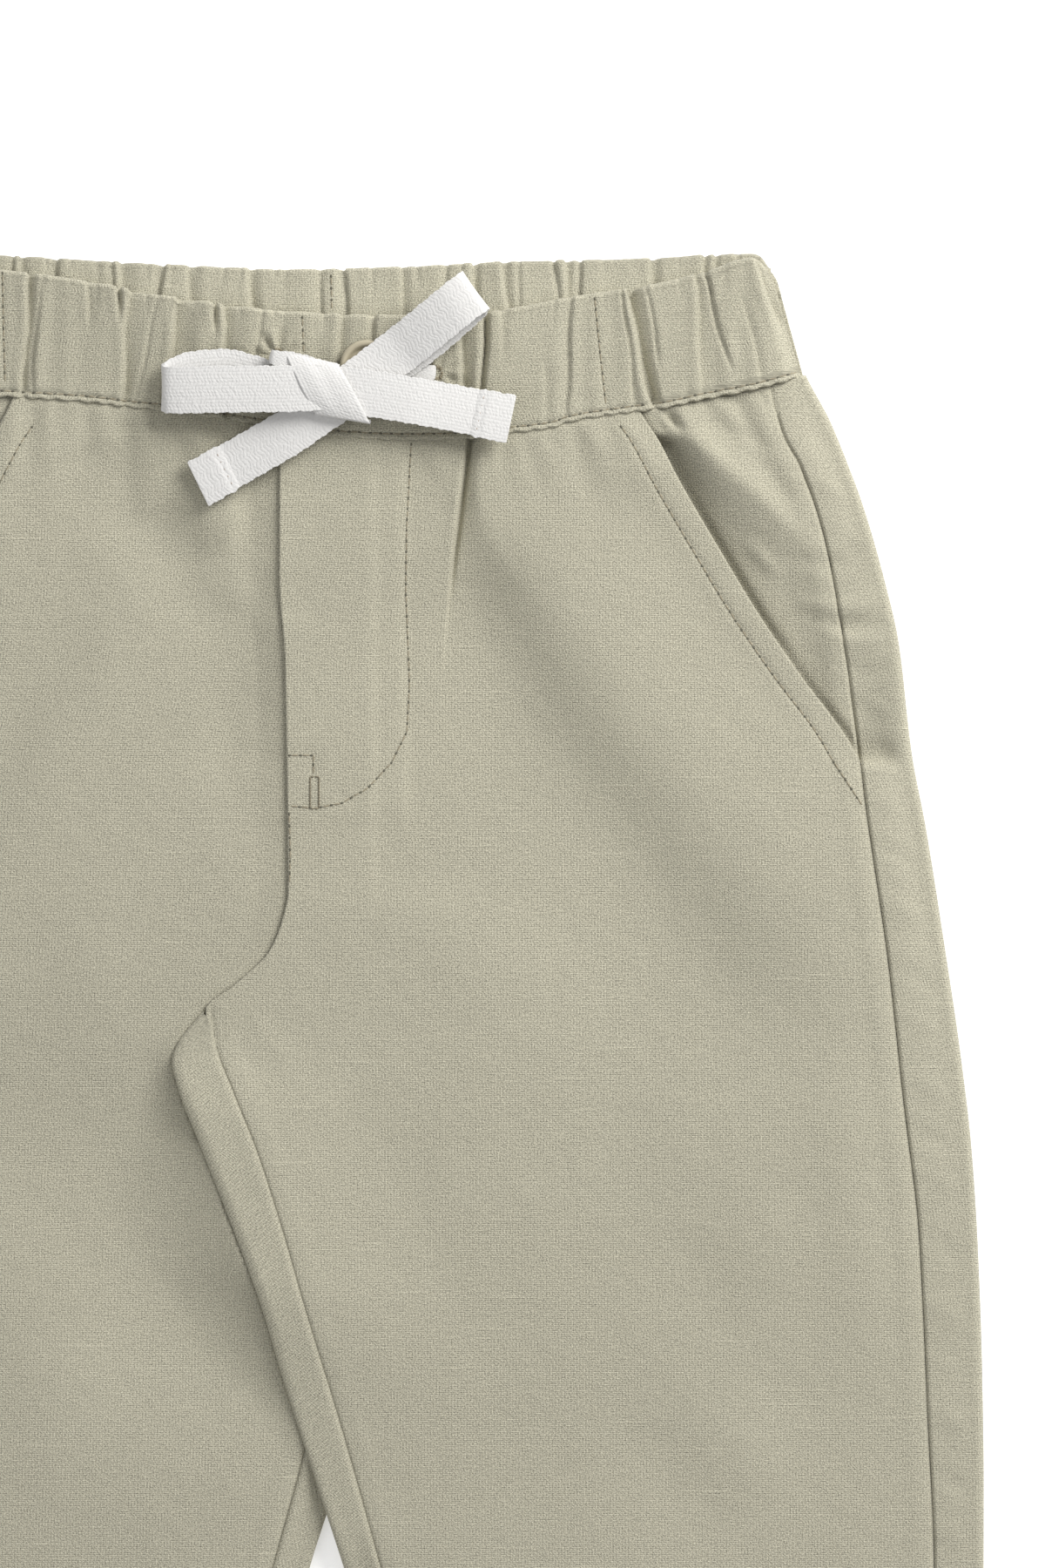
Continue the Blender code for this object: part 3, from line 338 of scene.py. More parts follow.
# Ripples along the side strip: drop, half width, height.
SIDE_RIPPLES = (
    (62, 2.2, 0.30), (78, 1.8, -0.25), (121, 2.4, 0.25), (133, 1.9, -0.28), (149, 2.6, 0.22),
    (163, 1.9, -0.24), (178, 2.4, 0.24), (196, 2.1, -0.26), (209, 1.8, 0.2), (226, 2.6, 0.26),
    (241, 1.9, -0.24), (252, 2.2, 0.2), (271, 2.8, -0.25), (289, 2.1, 0.25), (300, 1.8, -0.2),
    (318, 2.6, 0.24), (336, 2.0, -0.24), (351, 2.4, 0.2), (377, 3.0, -0.22), (402, 2.4, 0.22),
    (431, 3.2, -0.2), (463, 2.6, 0.2), (502, 3.4, -0.2), (540, 2.6, 0.2))

# Stitch lines as x and drop.
FLY_STITCH = ((23.3, 52.8), (22.1, 75), (21.8, 93), (22.8, 119), (22.1, 132), (18, 140.4),
              (11.3, 147.6), (4.1, 151.7), (-3.4, 153.1), (-10.3, 152.4))
FLY_SHELF_STITCH = ((-10.2, 138.5), (-3.6, 138.5), (-3.6, 144))
CROTCH_STITCH = ((-10.3, 154.5), (-10.0, 166), (-10.2, 174))
BAND_JOIN_RIGHT = ((73.9, 12.7), (75.2, 26), (77.0, 42))
BAND_JOIN_LEFT = ((-89.3, 5.6), (-89, 22), (-88.6, 36))
BAND_PLEAT_STITCH = ((-6.6, 17.6), (-6.2, 28.3))
BACK_JOIN_STITCH = ((1.2, 6), (1.4, 16))
BAR_TACK = (((-4.5, 144.4), (-4.5, 153.0)), ((-2.1, 144.4), (-2.1, 153.0)),
            ((-4.5, 144.4), (-2.1, 144.4)), ((-4.5, 153.2), (-2.1, 153.2)))
EYELETS = ((-13.4, 28.4), (30.6, 33.2))
# Small sharp creases drawn in at the left eyelet.
EYELET_PUCKERS = [Crease(*r) for r in (
    (0.55, -0.7, ((-14.0, 28.4), (-15.6, 25.4), (-17.8, 22.6))),
    (0.55, -0.6, ((-13.2, 28.0), (-13.4, 24.6), (-12.0, 21.2))),
    (0.6, -0.5, ((-15.0, 29.0), (-18.2, 27.2), (-21.4, 25.4))),
    (0.8, 0.4, ((-14.6, 27.6), (-14.6, 24.6), (-15.0, 21.6))),
    (0.6, -0.4, ((-11.8, 27.6), (-9.6, 24.8), (-8.6, 22.4))))]

# Lights: name, place, the spot they are aimed at, size, power, colour.
KEY_LIGHT = Lamp("key_light", (0.98, 1.08, 0.856), (0.05, 0.15, 0), 0.98, 28.6, (1.0, 0.99, 0.97))
FILL_LIGHT = Lamp("fill_light", (-1.2, -0.4, 1.6), (0.05, 0.1, 0), 1.6, 5.0, (0.97, 0.98, 1.0))

# Middle line of each tape: x, drop, height, then the direction of its width in plan, in degrees.
RIGHT_CORD = [TapeWay(*r) for r in (
    (29.8, 33.2, 8.2, 86, 3.0), (29.0, 33.4, 9.0, 86, 4.4), (26, 34.6, 9.4, 92, 6.4),
    (18, 36.8, 9.6, 108, 10.0),
    (8, 38.0, 9.8, 118, 12.0), (4.2, 38.6, 11.0, 125, 12.2), (8.5, 36.2, 12.2, 126, 12.5),
    (14, 32.2, 12.3, 126, 12.7), (19.5, 28.0, 12.8, 126, 12.7), (25, 23.8, 14.4, 126, 12.7),
    (31, 19.0, 16.1, 126, 12.7), (36, 15.0, 16.9, 126, 12.7), (39.6, 12.2, 16.5, 126, 12.7),
    (40.8, 11.4, 15.1, 126, 12.7),
    (39.8, 12.9, 13.1, 126, 12.7), (35.6, 16.8, 11.8, 125, 12.7), (27.6, 23.6, 10.9, 124, 12.7),
    (18, 30.6, 10.6, 122, 12.7), (8, 37.6, 10.9, 120, 12.6), (-1, 43.4, 11.4, 118, 12.7),
    (-10, 49.6, 11.0, 117, 12.7), (-19, 54.8, 10.1, 116, 12.7), (-28, 59.9, 9.2, 116, 12.7),
    (-35.2, 64.0, 8.6, 116, 12.7))]
LEFT_CORD = [TapeWay(*r) for r in (
    (-15.2, 29.3, 9.2, 80, 2.6), (-15.0, 29.3, 12.6, 80, 3.3), (-14.5, 29.4, 14.6, 80, 3.7),
    (-12.4, 29.8, 14.6, 78, 4.2), (-9.4, 30.8, 14.3, 76, 5.6), (-4, 33.6, 14.0, 78, 8.4),
    (1, 36.2, 13.4, 82, 10.5), (3.0, 37.4, 14.2, 88, 12.0), (-3, 37.8, 15.4, 91, 12.5),
    (-12, 38.1, 15.6, 91, 12.7), (-22, 38.2, 15.3, 91, 12.7), (-32, 38.3, 14.7, 91, 12.7),
    (-39.5, 38.4, 13.9, 91, 12.7), (-43.6, 38.3, 12.9, 91, 12.7), (-44.6, 37.6, 11.7, 90, 12.7),
    (-42.8, 35.8, 10.8, 88, 12.7), (-37, 33.8, 10.3, 86, 12.7), (-28, 33.2, 10.2, 86, 12.7),
    (-20, 35.0, 10.6, 81, 12.6), (-13, 37.2, 11.4, 80, 12.6), (-6, 38.2, 12.5, 80, 12.5),
    (2, 38.2, 13.8, 80, 12.6), (12, 39.3, 14.4, 80, 12.7), (22, 40.9, 14.1, 80, 12.7),
    (32, 42.6, 12.8, 79, 12.7),
    (42, 44.5, 11.3, 78, 12.7), (50.8, 46.2, 10.2, 78, 12.7))]
# Sides of the turn of tape over the bow's middle, as x and drop at its top, middle and foot.
KNOT_LEFT_SIDE = ((-11.2, 28.2), (-6.9, 37.6), (-2.9, 45.0))
KNOT_RIGHT_SIDE = ((3.2, 31.0), (7.0, 37.4), (12.2, 47.6))


# ---- sizes and colours that a user may set ----

class TrousersSizes(bpy.types.PropertyGroup):
    cloth_thickness: bpy.props.FloatProperty(
        name="Cloth thickness", description="Thickness of one layer of linen",
        default=0.0007, unit="LENGTH", precision=5)
    warp_pitch: bpy.props.FloatProperty(
        name="Warp pitch", description="Distance between neighbouring lengthwise threads",
        default=0.00084, unit="LENGTH", precision=5)
    weft_pitch: bpy.props.FloatProperty(
        name="Weft pitch", description="Distance between neighbouring crosswise threads",
        default=0.00056, unit="LENGTH", precision=5)
    stitch_length: bpy.props.FloatProperty(
        name="Stitch length", description="Length of thread that shows in one stitch",
        default=0.0021, unit="LENGTH", precision=5)
    stitch_pitch: bpy.props.FloatProperty(
        name="Stitch pitch", description="Distance from one stitch to the next",
        default=0.0029, unit="LENGTH", precision=5)
    tape_thickness: bpy.props.FloatProperty(
        name="Tape thickness", description="Thickness of the drawstring tape",
        default=0.0011, unit="LENGTH", precision=5)
    camera_height: bpy.props.FloatProperty(
        name="Camera height", description="Height of the camera above the surface",
        default=1.806, unit="LENGTH")


class TrousersColours(bpy.types.PropertyGroup):
    linen: bpy.props.FloatVectorProperty(
        name="Linen", description="Colour of the linen's threads",
        default=(0.493, 0.471, 0.370), subtype="COLOR", min=0.0, max=1.0)
    # Darker than the threads: painted shade in the hollows between them.
    linen_gap_shade: bpy.props.FloatVectorProperty(
        name="Linen gaps", description="Colour between the linen's threads",
        default=(0.27, 0.245, 0.175), subtype="COLOR", min=0.0, max=1.0)
    # Darker than the thread's own brown: painted shade round the stitches is mixed into this colour.
    thread: bpy.props.FloatVectorProperty(
        name="Thread", description="Colour of the sewing thread",
        default=(0.34, 0.30, 0.215), subtype="COLOR", min=0.0, max=1.0)
    tape: bpy.props.FloatVectorProperty(
        name="Tape", description="Colour of the cotton tape",
        default=(0.705, 0.697, 0.684), subtype="COLOR", min=0.0, max=1.0)
    button: bpy.props.FloatVectorProperty(
        name="Button", description="Colour of the resin button",
        default=(0.50, 0.45, 0.33), subtype="COLOR", min=0.0, max=1.0)


def sizes():
    return bpy.context.scene.trousers_sizes


def colours():
    return bpy.context.scene.trousers_colours


# ---- numbers ----

def smooth_step(low, high, value):
    """0 below low, 1 above high, easing between them."""
    t = np.clip((value - low) / (high - low), 0.0, 1.0)
    return t * t * (3 - 2 * t)


def fading(low, high, value):
    """1 below low, 0 above high, easing between them."""
    return 1.0 - smooth_step(low, high, value)


def mix(a, b, weight):
    return a + (b - a) * weight


def bell(distance, half_width):
    return np.exp(-((distance / half_width) ** 2))


def read_table(table, value):
    """Smooth curve through a table's two columns, without overshoot."""
    places = np.array([row[0] for row in table], float)
    values = np.array([row[1] for row in table], float)
    slopes = np.diff(values) / np.diff(places)
    before, after = slopes[:-1], slopes[1:]
    agree = before * after > 0
    inner = np.where(agree, 2 * before * after / np.where(agree, before + after, 1.0), 0.0)
    tangents = np.concatenate((slopes[:1], inner, slopes[-1:]))
    value = np.clip(value, places[0], places[-1])
    k = np.clip(np.searchsorted(places, value, side="left") - 1, 0, len(places) - 2)
    span = places[k + 1] - places[k]
    t = (value - places[k]) / span
    return (values[k] * (2 * t**3 - 3 * t**2 + 1) + values[k + 1] * (3 * t**2 - 2 * t**3)
            + span * tangents[k] * (t**3 - 2 * t**2 + t) + span * tangents[k + 1] * (t**3 - t**2))


def spread(stops, steps):
    """Places from the first stop to the last, each stretch in its own number of steps."""
    runs = [np.linspace(a, b, n, endpoint=False) for a, b, n in zip(stops, stops[1:], steps)]
    return np.append(np.concatenate(runs), stops[-1])


def near_line(points, x, drop):
    """Distance from a line, the share of its length at the nearest place, and the side of the line.

    The side is 1 on the upper right of a line that runs down to the right, and -1 on its lower left."""
    line = np.array(points, float)
    steps = np.diff(line, axis=0)
    runs = np.hypot(*steps.T)
    starts = np.concatenate(([0.0], np.cumsum(runs)))
    best = np.full(np.shape(x), 1e9)
    share = np.zeros(np.shape(x))
    side = np.zeros(np.shape(x))
    for (start_x, start_drop), start, run, step in zip(line, starts, runs, steps / runs[:, None]):
        out_x, out_drop = x - start_x, drop - start_drop
        t = np.clip(out_x * step[0] + out_drop * step[1], 0.0, run)
        away = np.hypot(out_x - step[0] * t, out_drop - step[1] * t)
        nearer = away < best
        best = np.where(nearer, away, best)
        share = np.where(nearer, (start + t) / starts[-1], share)
        side = np.where(nearer, np.where(out_x * step[1] - out_drop * step[0] < 0, -1.0, 1.0), side)
    return best, share, side


def from_line(points, x, drop):
    """Distance from a line."""
    return near_line(points, x, drop)[0]


def slope_height(slopes, x, drop):
    """Sum of soft slopes, each a rise across its line that levels off on both sides."""
    total = np.zeros(np.shape(x))
    for slope in slopes:
        away, share, side = near_line(slope.points, x, drop)
        signed = away * side
        width = mix(slope.width_start, slope.width_end, share)
        fade = smooth_step(-0.02, 0.12, share) * fading(0.7, 1.02, share)
        total += slope.height * fade * (np.tanh(signed / width) - np.tanh(signed / slope.run))
    return total


def crease_height(creases, x, drop):
    """Sum of ridges and troughs, each fading towards its ends."""
    total = np.zeros(np.shape(x))
    for crease in creases:
        away, share, _ = near_line(crease.points, x, drop)
        total += crease.height * (1.0 - 0.65 * (2 * share - 1) ** 2) * bell(away, crease.half_width)
    return total


# ---- the form of the cloth ----

def lower_leg_weight(x, drop, ramp=LIFT_RAMP):
    """1 where the upper leg lies on the lower one, easing off over the ramp."""
    reach = read_table(LOWER_REACH, drop)
    along = smooth_step(168, 184, drop) * fading(*LEGS_PART, drop)
    return along * smooth_step(-ramp, 0.0, reach + LIFT_MARGIN - x)


def lift(x, drop):
    return STACK_LIFT * lower_leg_weight(x, drop)


def upper_leg_edge(drop):
    return np.where(drop < CROTCH_DROP, read_table(UPPER_FRONT_EDGE, drop), read_table(INNER_EDGE, drop))


def covered_weight(x, drop):
    """1 where the lower leg is pressed down by the upper one."""
    along = smooth_step(162, 176, drop) * fading(*LEGS_PART, drop)
    past = x - upper_leg_edge(drop) - mix(0.8, -1.2, smooth_step(200, 212, drop))
    return along * smooth_step(0.0, 3.5, past)


def loose_level(side, drop):
    """Height of a front where nothing lies on it or under it."""
    outer = read_table(OUTER_EDGE, drop)
    below = drop > CROTCH_DROP
    inner = np.where(below, read_table(INNER_EDGE, drop), 0.0)
    inward = smooth_step(0, 34, outer - side)
    from_inner = np.where(below, smooth_step(0, 30, side - inner), 1.0)
    from_inner = mix(1.0, from_inner, smooth_step(CROTCH_DROP, 250, drop))
    hip = 1.0 - 0.45 * smooth_step(300, 640, drop)
    return 4.7 + 1.3 * hip * inward * from_inner


def waist_gathers(x, drop):
    """The short folds that run down from the band's seam."""
    below = drop - read_table(FRONT_BAND_SEAM, x)
    total = np.zeros(np.shape(x))
    for x_seam, x_end, length, depth, half_width in WAIST_GATHERS:
        down = np.clip(below / length, 0.0, 1.6)
        middle = mix(x_seam, x_end, down)
        width = half_width * (1.0 + 0.9 * down)
        fade = np.exp(-1.6 * down**1.5)
        total -= depth * fade * bell(x - middle, width)
        total += 0.45 * depth * fade * bell(x - middle - 2.1 * width, width)
    return total


def tuck_edge(drop):
    line = np.array(TUCK_EDGE, float)
    return np.interp(drop, line[:, 1], line[:, 0])


def tuck_form(x, drop):
    """The tuck beside the fly: a crisp edge, then the cloth lies deep and climbs slowly away."""
    beside = x - tuck_edge(drop)
    climb = fading(-0.5, 1.0, beside / read_table(TUCK_WIDTH, drop))
    deep = read_table(TUCK_DEPTH, drop) * smooth_step(-0.35, 0.35, beside) * climb
    ends = fading(108, 124, drop) * smooth_step(38, 48, drop)
    slit = 1.6 * bell(beside - 0.4, 0.7) * fading(72, 100, drop)
    rim = 0.3 * bell(beside + 1.4, 1.5) * fading(66, 92, drop)
    return ends * (rim - deep - slit)


def inner_raise(side, drop):
    """The upper leg stands off the lower one along its inner fold."""
    raised = smooth_step(211, 239, drop) * fading(282, 325, drop)
    return 4.2 * raised * fading(0, 56, side - read_table(INNER_EDGE, drop))


def hem_form(drop):
    """The turned hem: a faint step at its stitches and a rounded lower edge."""
    stitched = LENGTH - HEM_DEPTH
    step = 0.35 * smooth_step(stitched - 4.0, stitched - 1.0, drop)
    groove = 0.3 * bell(drop - stitched, 1.0)
    rounded = 1.3 * smooth_step(LENGTH - 2.0, LENGTH + 0.4, drop) ** 2
    return step - groove - rounded


def seam_groove(away):
    """The narrow line where two panels meet."""
    return 0.9 * bell(away, 0.55)


def seam_form(away):
    """Across a pressed seam: its groove with the allowance's soft ridge beside it."""
    return 0.3 * bell(away - 4.2, 2.6) - seam_groove(away)


def front_height(x, drop, leg):
    """Height of the fronts' upper surface; leg is 1 for the upper leg and -1 for the lower one."""
    side = leg * x
    level = loose_level(side, drop)
    detail = crease_height(SOFT_FOLDS, x, drop) + crease_height(SHARP_CREASES, x, drop)
    detail = detail + slope_height(SOFT_SLOPES, x, drop)
    detail = detail + waist_gathers(x, drop) + hem_form(drop)
    opening = read_table(POCKET_EDGE, drop)
    shown = smooth_step(38, 60, drop) * fading(100, 141, drop)
    on_front = drop < POCKET_END_DROP
    stitch_away = opening - side - POCKET_STITCH_IN
    detail = detail + np.where(on_front, 1.5 * shown * bell(side - opening, 10.0)
                               - 0.3 * bell(stitch_away, 0.8), 0.0)
    outer = np.where(on_front, 1e3, read_table(SIDE_SEAM, drop) - side)
    detail = detail + seam_form(outer)
    inner = np.where(drop > CROTCH_DROP, side - read_table(INSEAM, drop), 1e3)
    detail = detail + seam_form(inner)
    below_seam = drop - read_table(FRONT_BAND_SEAM, x)
    detail = detail * mix(0.25, 1.0, smooth_step(0.0, 7.0, below_seam))
    detail = detail - 0.35 * np.exp(-np.clip(below_seam, 0, 50))
    return upper_leg_form(level, detail, x, drop) if leg > 0 else lower_leg_form(level + detail, x, drop)


def upper_leg_form(level, detail, x, drop):
    """The upper leg's tuck and raised fly, and its rise over the lower leg."""
    detail = detail + tuck_form(x, drop)
    fly = smooth_step(-1.5, 1.5, FLY_STITCH_X - x) * fading(FLY_END_DROP, 160, drop)
    level = level + FLY_RISE * fly
    for line in (FLY_STITCH, FLY_SHELF_STITCH):
        level = level - 0.22 * bell(from_line(line, x, drop), 1.7)
    level = level + 0.5 * fading(198, 208, drop) * smooth_step(-14.5, -12.0, -x) * smooth_step(44, 52, drop)
    weight = lower_leg_weight(x, drop, 46.0)
    level = mix(level + detail, STACK_LIFT + 3.4 + 0.55 * detail, weight)
    return np.maximum(level, lift(x, drop) + 2.2) + inner_raise(x, drop)


def lower_leg_form(level, x, drop):
    """The lower leg beside the upper one: held up and dipping at the fly, climbing and pressed below it."""
    edge = upper_leg_edge(drop)
    beside = edge - x
    resting = front_height(edge + 0.6, drop, 1) - 1.05
    reach = mix(6.5, 11.0, smooth_step(100, 132, drop)) + 3.0 * smooth_step(150, 200, drop)
    held = smooth_step(40, 52, drop) * fading(200, 212, drop) * bell(np.maximum(beside, 0), reach)
    level = mix(level, resting, 0.8 * held)
    hollow = smooth_step(108, 130, drop) * fading(146, 168, drop)
    level = level - 0.8 * bell(beside - 14.0, 8.0) * hollow
    dip = smooth_step(-1.5, 8.5, beside) * np.exp(-np.maximum(beside - 8.5, 0.0) / 16.0)
    level = level - read_table(EDGE_DIP, drop) * dip
    pressed = smooth_step(198, 256, drop) * fading(292, 346, drop)
    level = mix(level, 2.6, pressed * fading(24.0, 76.0, beside))
    nearness = np.clip(1.0 - beside / read_table(EDGE_REACH, drop), 0, 1)
    level = level + read_table(EDGE_CLIMB, drop) * nearness**2
    level = mix(level, COVERED_TOP, covered_weight(x, drop))
    return np.maximum(level, FRONT_FLOOR)


def hip_piece_height(side, drop):
    """The hip piece inside the pocket opening: hollow at the edge, then up to a slanting ridge."""
    away = side - read_table(POCKET_EDGE, drop)
    seam = read_table(SIDE_SEAM, drop)
    away_from_ridge, _, ridge_side = near_line(HIP_RIDGE, side, drop)
    above = away_from_ridge * ridge_side
    from_edge = np.clip(0.85 * away, 0.0, 60.0)
    share = np.where(above < 0, from_edge / (from_edge - np.minimum(above, -0.01)), 1.0)
    level = mix(read_table(HIP_LOW, drop), read_table(HIP_HIGH, drop), smooth_step(-0.12, 1.04, share))
    level = level + 0.4 * bell(above - 1.0, 2.0) * smooth_step(44, 54, drop) * fading(72, 86, drop)
    level = level - 0.8 * bell(above - 7.0, 3.6) * smooth_step(42, 50, drop) * fading(74, 90, drop)
    level = level - read_table(HIP_GROOVE, drop) * bell(away - 0.2, 2.0)
    level = mix(level, read_table(HIP_SEAM, drop),
                smooth_step(seam - 13, seam, side) * smooth_step(6, 20, seam - side + away))
    level = level + crease_height(HIP_WRINKLES, side, drop) + 0.6 * waist_gathers(side, drop)
    level = level - 0.3 * np.exp(-np.clip(drop - read_table(FRONT_BAND_SEAM, side), 0, 50))
    return level + seam_form(seam - side)


def side_ripples(drop):
    """Small wrinkles across the side strip, by drop."""
    return sum(height * bell(drop - middle, half_width) for middle, half_width, height in SIDE_RIPPLES)


def side_strip_height(side, drop, leg):
    """The back's strip that is turned over the outer edge."""
    seam = read_table(SIDE_SEAM, drop)
    outer = read_table(OUTER_EDGE, drop) - SIDE_RADIUS
    at_seam = 0.7 + np.where(drop < POCKET_END_DROP, hip_piece_height(seam, drop),
                             front_height(leg * seam, drop, leg))
    share = smooth_step(0, 1, (side - seam) / np.maximum(outer - seam, 0.5)) ** 2.0
    ripple = 1.6 * side_ripples(drop - 0.5 * (side - seam)) * np.sin(math.pi * np.clip(share + 0.15, 0, 1))
    wrinkle = crease_height(HIP_WRINKLES, side, drop) * smooth_step(0, 3, outer - side)
    return mix(at_seam, 2 * SIDE_RADIUS, share) + ripple + wrinkle - seam_groove(side - seam)


def inner_strip_height(side, drop, leg):
    """The back's strip that is turned over the inner edge."""
    seam = read_table(INSEAM, drop)
    fold = read_table(INNER_EDGE, drop) + EDGE_RADIUS
    base = lift(leg * side, drop) + inner_raise(side, drop) if leg > 0 else 0.0
    share = smooth_step(0, 1, (side - fold) / np.maximum(seam - fold, 0.5))
    top = mix(base + 2 * EDGE_RADIUS, front_height(leg * seam, drop, leg) + 0.9, share)
    return top - seam_groove(side - seam)


def band_creases(pleats, x, across):
    """The gathered band: small pleats with a crisp edge and a soft side, and fine short puckers."""
    total = np.zeros(np.shape(x))
    for k, p in enumerate(pleats):
        bow = 0.5 * math.sin(2.1 * k) * np.sin(math.pi * across) + 0.25 * np.sin(9.0 * across + k)
        away = (x - mix(p.x_top, p.x_seam, across) - bow) * p.side
        width = mix(p.width_top, p.width_seam, across)
        shown = smooth_step(p.start - 0.12, p.start + 0.12, across) if p.start > 0 else 1.0
        if p.end < 1:
            shown = shown * fading(p.end - 0.12, p.end + 0.15, across)
        depth = p.depth * shown * (0.9 + 0.2 * np.cos(5.0 * across + 1.7 * k))
        fall = smooth_step(-0.7, 0.0, away) * (1.0 - np.clip(away / width, 0.0, 1.0)) ** 1.3
        total -= 1.5 * depth * fall
        total += 0.25 * depth * bell(away + 1.7, 1.3)
    for k in range(58):
        middle = -127.0 + 4.45 * k + 1.7 * math.sin(2.3 * k)
        reach = 0.22 + 0.14 * math.sin(3.7 * k)
        near = fading(0.0, reach, across if k % 3 else 1.0 - across)
        lean = 2.0 * math.sin(1.9 * k) * across
        total -= (0.30 + 0.16 * math.sin(4.1 * k)) * near * bell(x - middle - lean, 0.75 + 0.3 * math.sin(k))
    return total + 0.16 * np.sin(0.52 * x + 1.8 * np.sin(0.17 * x) + 0.9 * across)


def front_band_height(x, across):
    """Height of the front band's upper surface, from its top edge (0) to its seam (1)."""
    middle = fading(0, 1, np.abs(x) / WAIST_HALF)
    mouth = 5.9 + 2.4 * middle
    at_seam = 5.4 + 0.8 * smooth_step(0, 26, 138 - np.abs(x))
    at_seam = at_seam + 0.8 * smooth_step(-20, -9, x) * fading(16, 30, x)
    level = mix(mouth, at_seam, smooth_step(0.2, 1.0, across)) + 0.8 * smooth_step(98, 124, x)
    seam_drop = read_table(FRONT_BAND_SEAM, x)
    top_drop = read_table(FRONT_BAND_TOP, x)
    from_seam = (1.0 - across) * (seam_drop - top_drop)
    creases = band_creases(FRONT_PLEATS, x, across)
    level = level + creases * mix(0.35, 1.0, smooth_step(0.5, 4.0, from_seam))
    drop = mix(top_drop, seam_drop, across)
    lumps = 1.0 + 0.4 * np.sin(0.75 * x + 1.6 * np.sin(0.23 * x)) + 0.2 * np.sin(2.2 * x)
    level = level + 0.26 * lumps * bell(from_seam - 0.6, 0.5) - 0.28 * bell(from_seam - 1.8, 0.5)
    level = level + 0.1 * lumps * bell(from_seam - 3.4, 1.2)
    for eye_x, eye_drop in EYELETS:
        away = np.hypot(x - eye_x, drop - eye_drop)
        turn = np.arctan2(drop - eye_drop, x - eye_x)
        level = level - 0.5 * bell(away, 2.2)
        level = level + 0.5 * np.cos(7 * turn + 0.6 * np.sin(2 * turn)) * bell(away - 4.2, 2.6)
    level = level + crease_height(EYELET_PUCKERS, x, drop)
    for line in (BAND_JOIN_RIGHT, BAND_JOIN_LEFT, BAND_PLEAT_STITCH):
        level = level - 0.25 * bell(from_line(line, x, drop), 0.7)
    end = WAIST_HALF + BAND_FLARE * across
    return level - 2.6 * smooth_step(6.0, 0.0, end - np.abs(x)) ** 2


def back_band_height(x, across):
    """Height of the back band's inner surface, which shows above the front one."""
    from_seam = (1.0 - across) * BACK_BAND_DEPTH
    level = 2.3 + 1.9 * smooth_step(0.0, 0.45, across) + 1.05 * band_creases(BACK_PLEATS, x, across)
    below_front = front_band_height(x, np.maximum(across - 0.2, 0.0)) - 1.5 + 3.0 * (across < 0.3)
    level = np.minimum(level, below_front)
    return np.maximum(level, 1.5) + 0.3 * bell(from_seam - 1.0, 0.8)


# ---- meshes ----

def to_y(drop):
    """Distance up the garment from its middle, where the frame has its origin."""
    return LENGTH / 2 - drop


def show_mesh(name, mesh, finish):
    """A new object of the scene with one finish."""
    mesh.materials.append(finish)
    made = bpy.data.objects.new(name, mesh)
    bpy.context.scene.collection.objects.link(made)
    return made


def mesh_from(name, work):
    """A mesh from a bmesh, which is freed."""
    mesh = bpy.data.meshes.new(name)
    work.to_mesh(mesh)
    work.free()
    return mesh


def grid_object(name, x, drop, z, finish, thickness, up_at, weave=None, offset=-1.0,
                turned_columns=0, turn=0.0):
    """A cloth from a grid of places; up_at names a cell and whether its outward side looks up.

    The weave runs along the rows, and is turned by an angle over the first turned_columns."""
    rows, columns = x.shape
    work = bmesh.new()
    bmesh.ops.create_grid(work, x_segments=columns - 1, y_segments=rows - 1, size=1.0)
    mesh = mesh_from(name, work)
    plan = np.empty(rows * columns * 3)
    mesh.vertices.foreach_get("co", plan)
    plan = plan.reshape(-1, 3)
    i = np.rint((plan[:, 0] + 1) / 2 * (columns - 1)).astype(int)
    j = np.rint((plan[:, 1] + 1) / 2 * (rows - 1)).astype(int)
    places = np.stack((x, to_y(drop), z), -1) * MM
    mesh.vertices.foreach_set("co", places[j, i].ravel())
    if weave is None:
        steps = np.linalg.norm(np.diff(places, axis=1), axis=2)
        run = np.concatenate((np.zeros((rows, 1)), np.cumsum(steps, axis=1)), axis=1)
        middle = columns // 2
        weave = np.stack((run - run[:, middle:middle + 1] + places[:, middle:middle + 1, 0],
                          places[..., 1]), -1)
    if turned_columns:
        cos, sin = math.cos(turn), math.sin(turn)
        part = weave[:, :turned_columns]
        weave[:, :turned_columns] = np.stack((cos * part[..., 0] - sin * part[..., 1],
                                              sin * part[..., 0] + cos * part[..., 1]), -1)
    corners = np.empty(len(mesh.loops), int)
    mesh.loops.foreach_get("vertex_index", corners)
    layer = mesh.uv_layers.new(name="weave")
    layer.uv.foreach_set("vector", weave[j, i][corners].astype(np.float32).ravel())
    mesh.update()
    (row, column), up = up_at
    face = mesh.polygons[(row % (rows - 1)) * (columns - 1) + column % (columns - 1)]
    if (face.normal.z > 0) != up:
        mesh.flip_normals()
    mesh.shade_smooth()
    made = show_mesh(name, mesh, finish)
    wall = made.modifiers.new("wall", "SOLIDIFY")
    wall.thickness = thickness
    wall.offset = offset
    return made


def settle(piece, slot, *nodes):
    """Tie a finished piece to the garment's body and hide the solids it stands for. Its slot is not used."""
    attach(piece, "root")
    if nodes:
        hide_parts(*nodes)
    return piece


def mesh_area(x, drop, z):
    """Area of a grid in square metres."""
    places = np.stack((x, drop, z), -1) * MM
    across = places[:-1, 1:] - places[:-1, :-1]
    down = places[1:, :-1] - places[:-1, :-1]
    return float(np.linalg.norm(np.cross(across, down), axis=2).sum())


def declare_cloth(x, drop, z):
    """Work out the true area of one panel's grid; nothing is done with it."""
    area = mesh_area(x, drop, z)


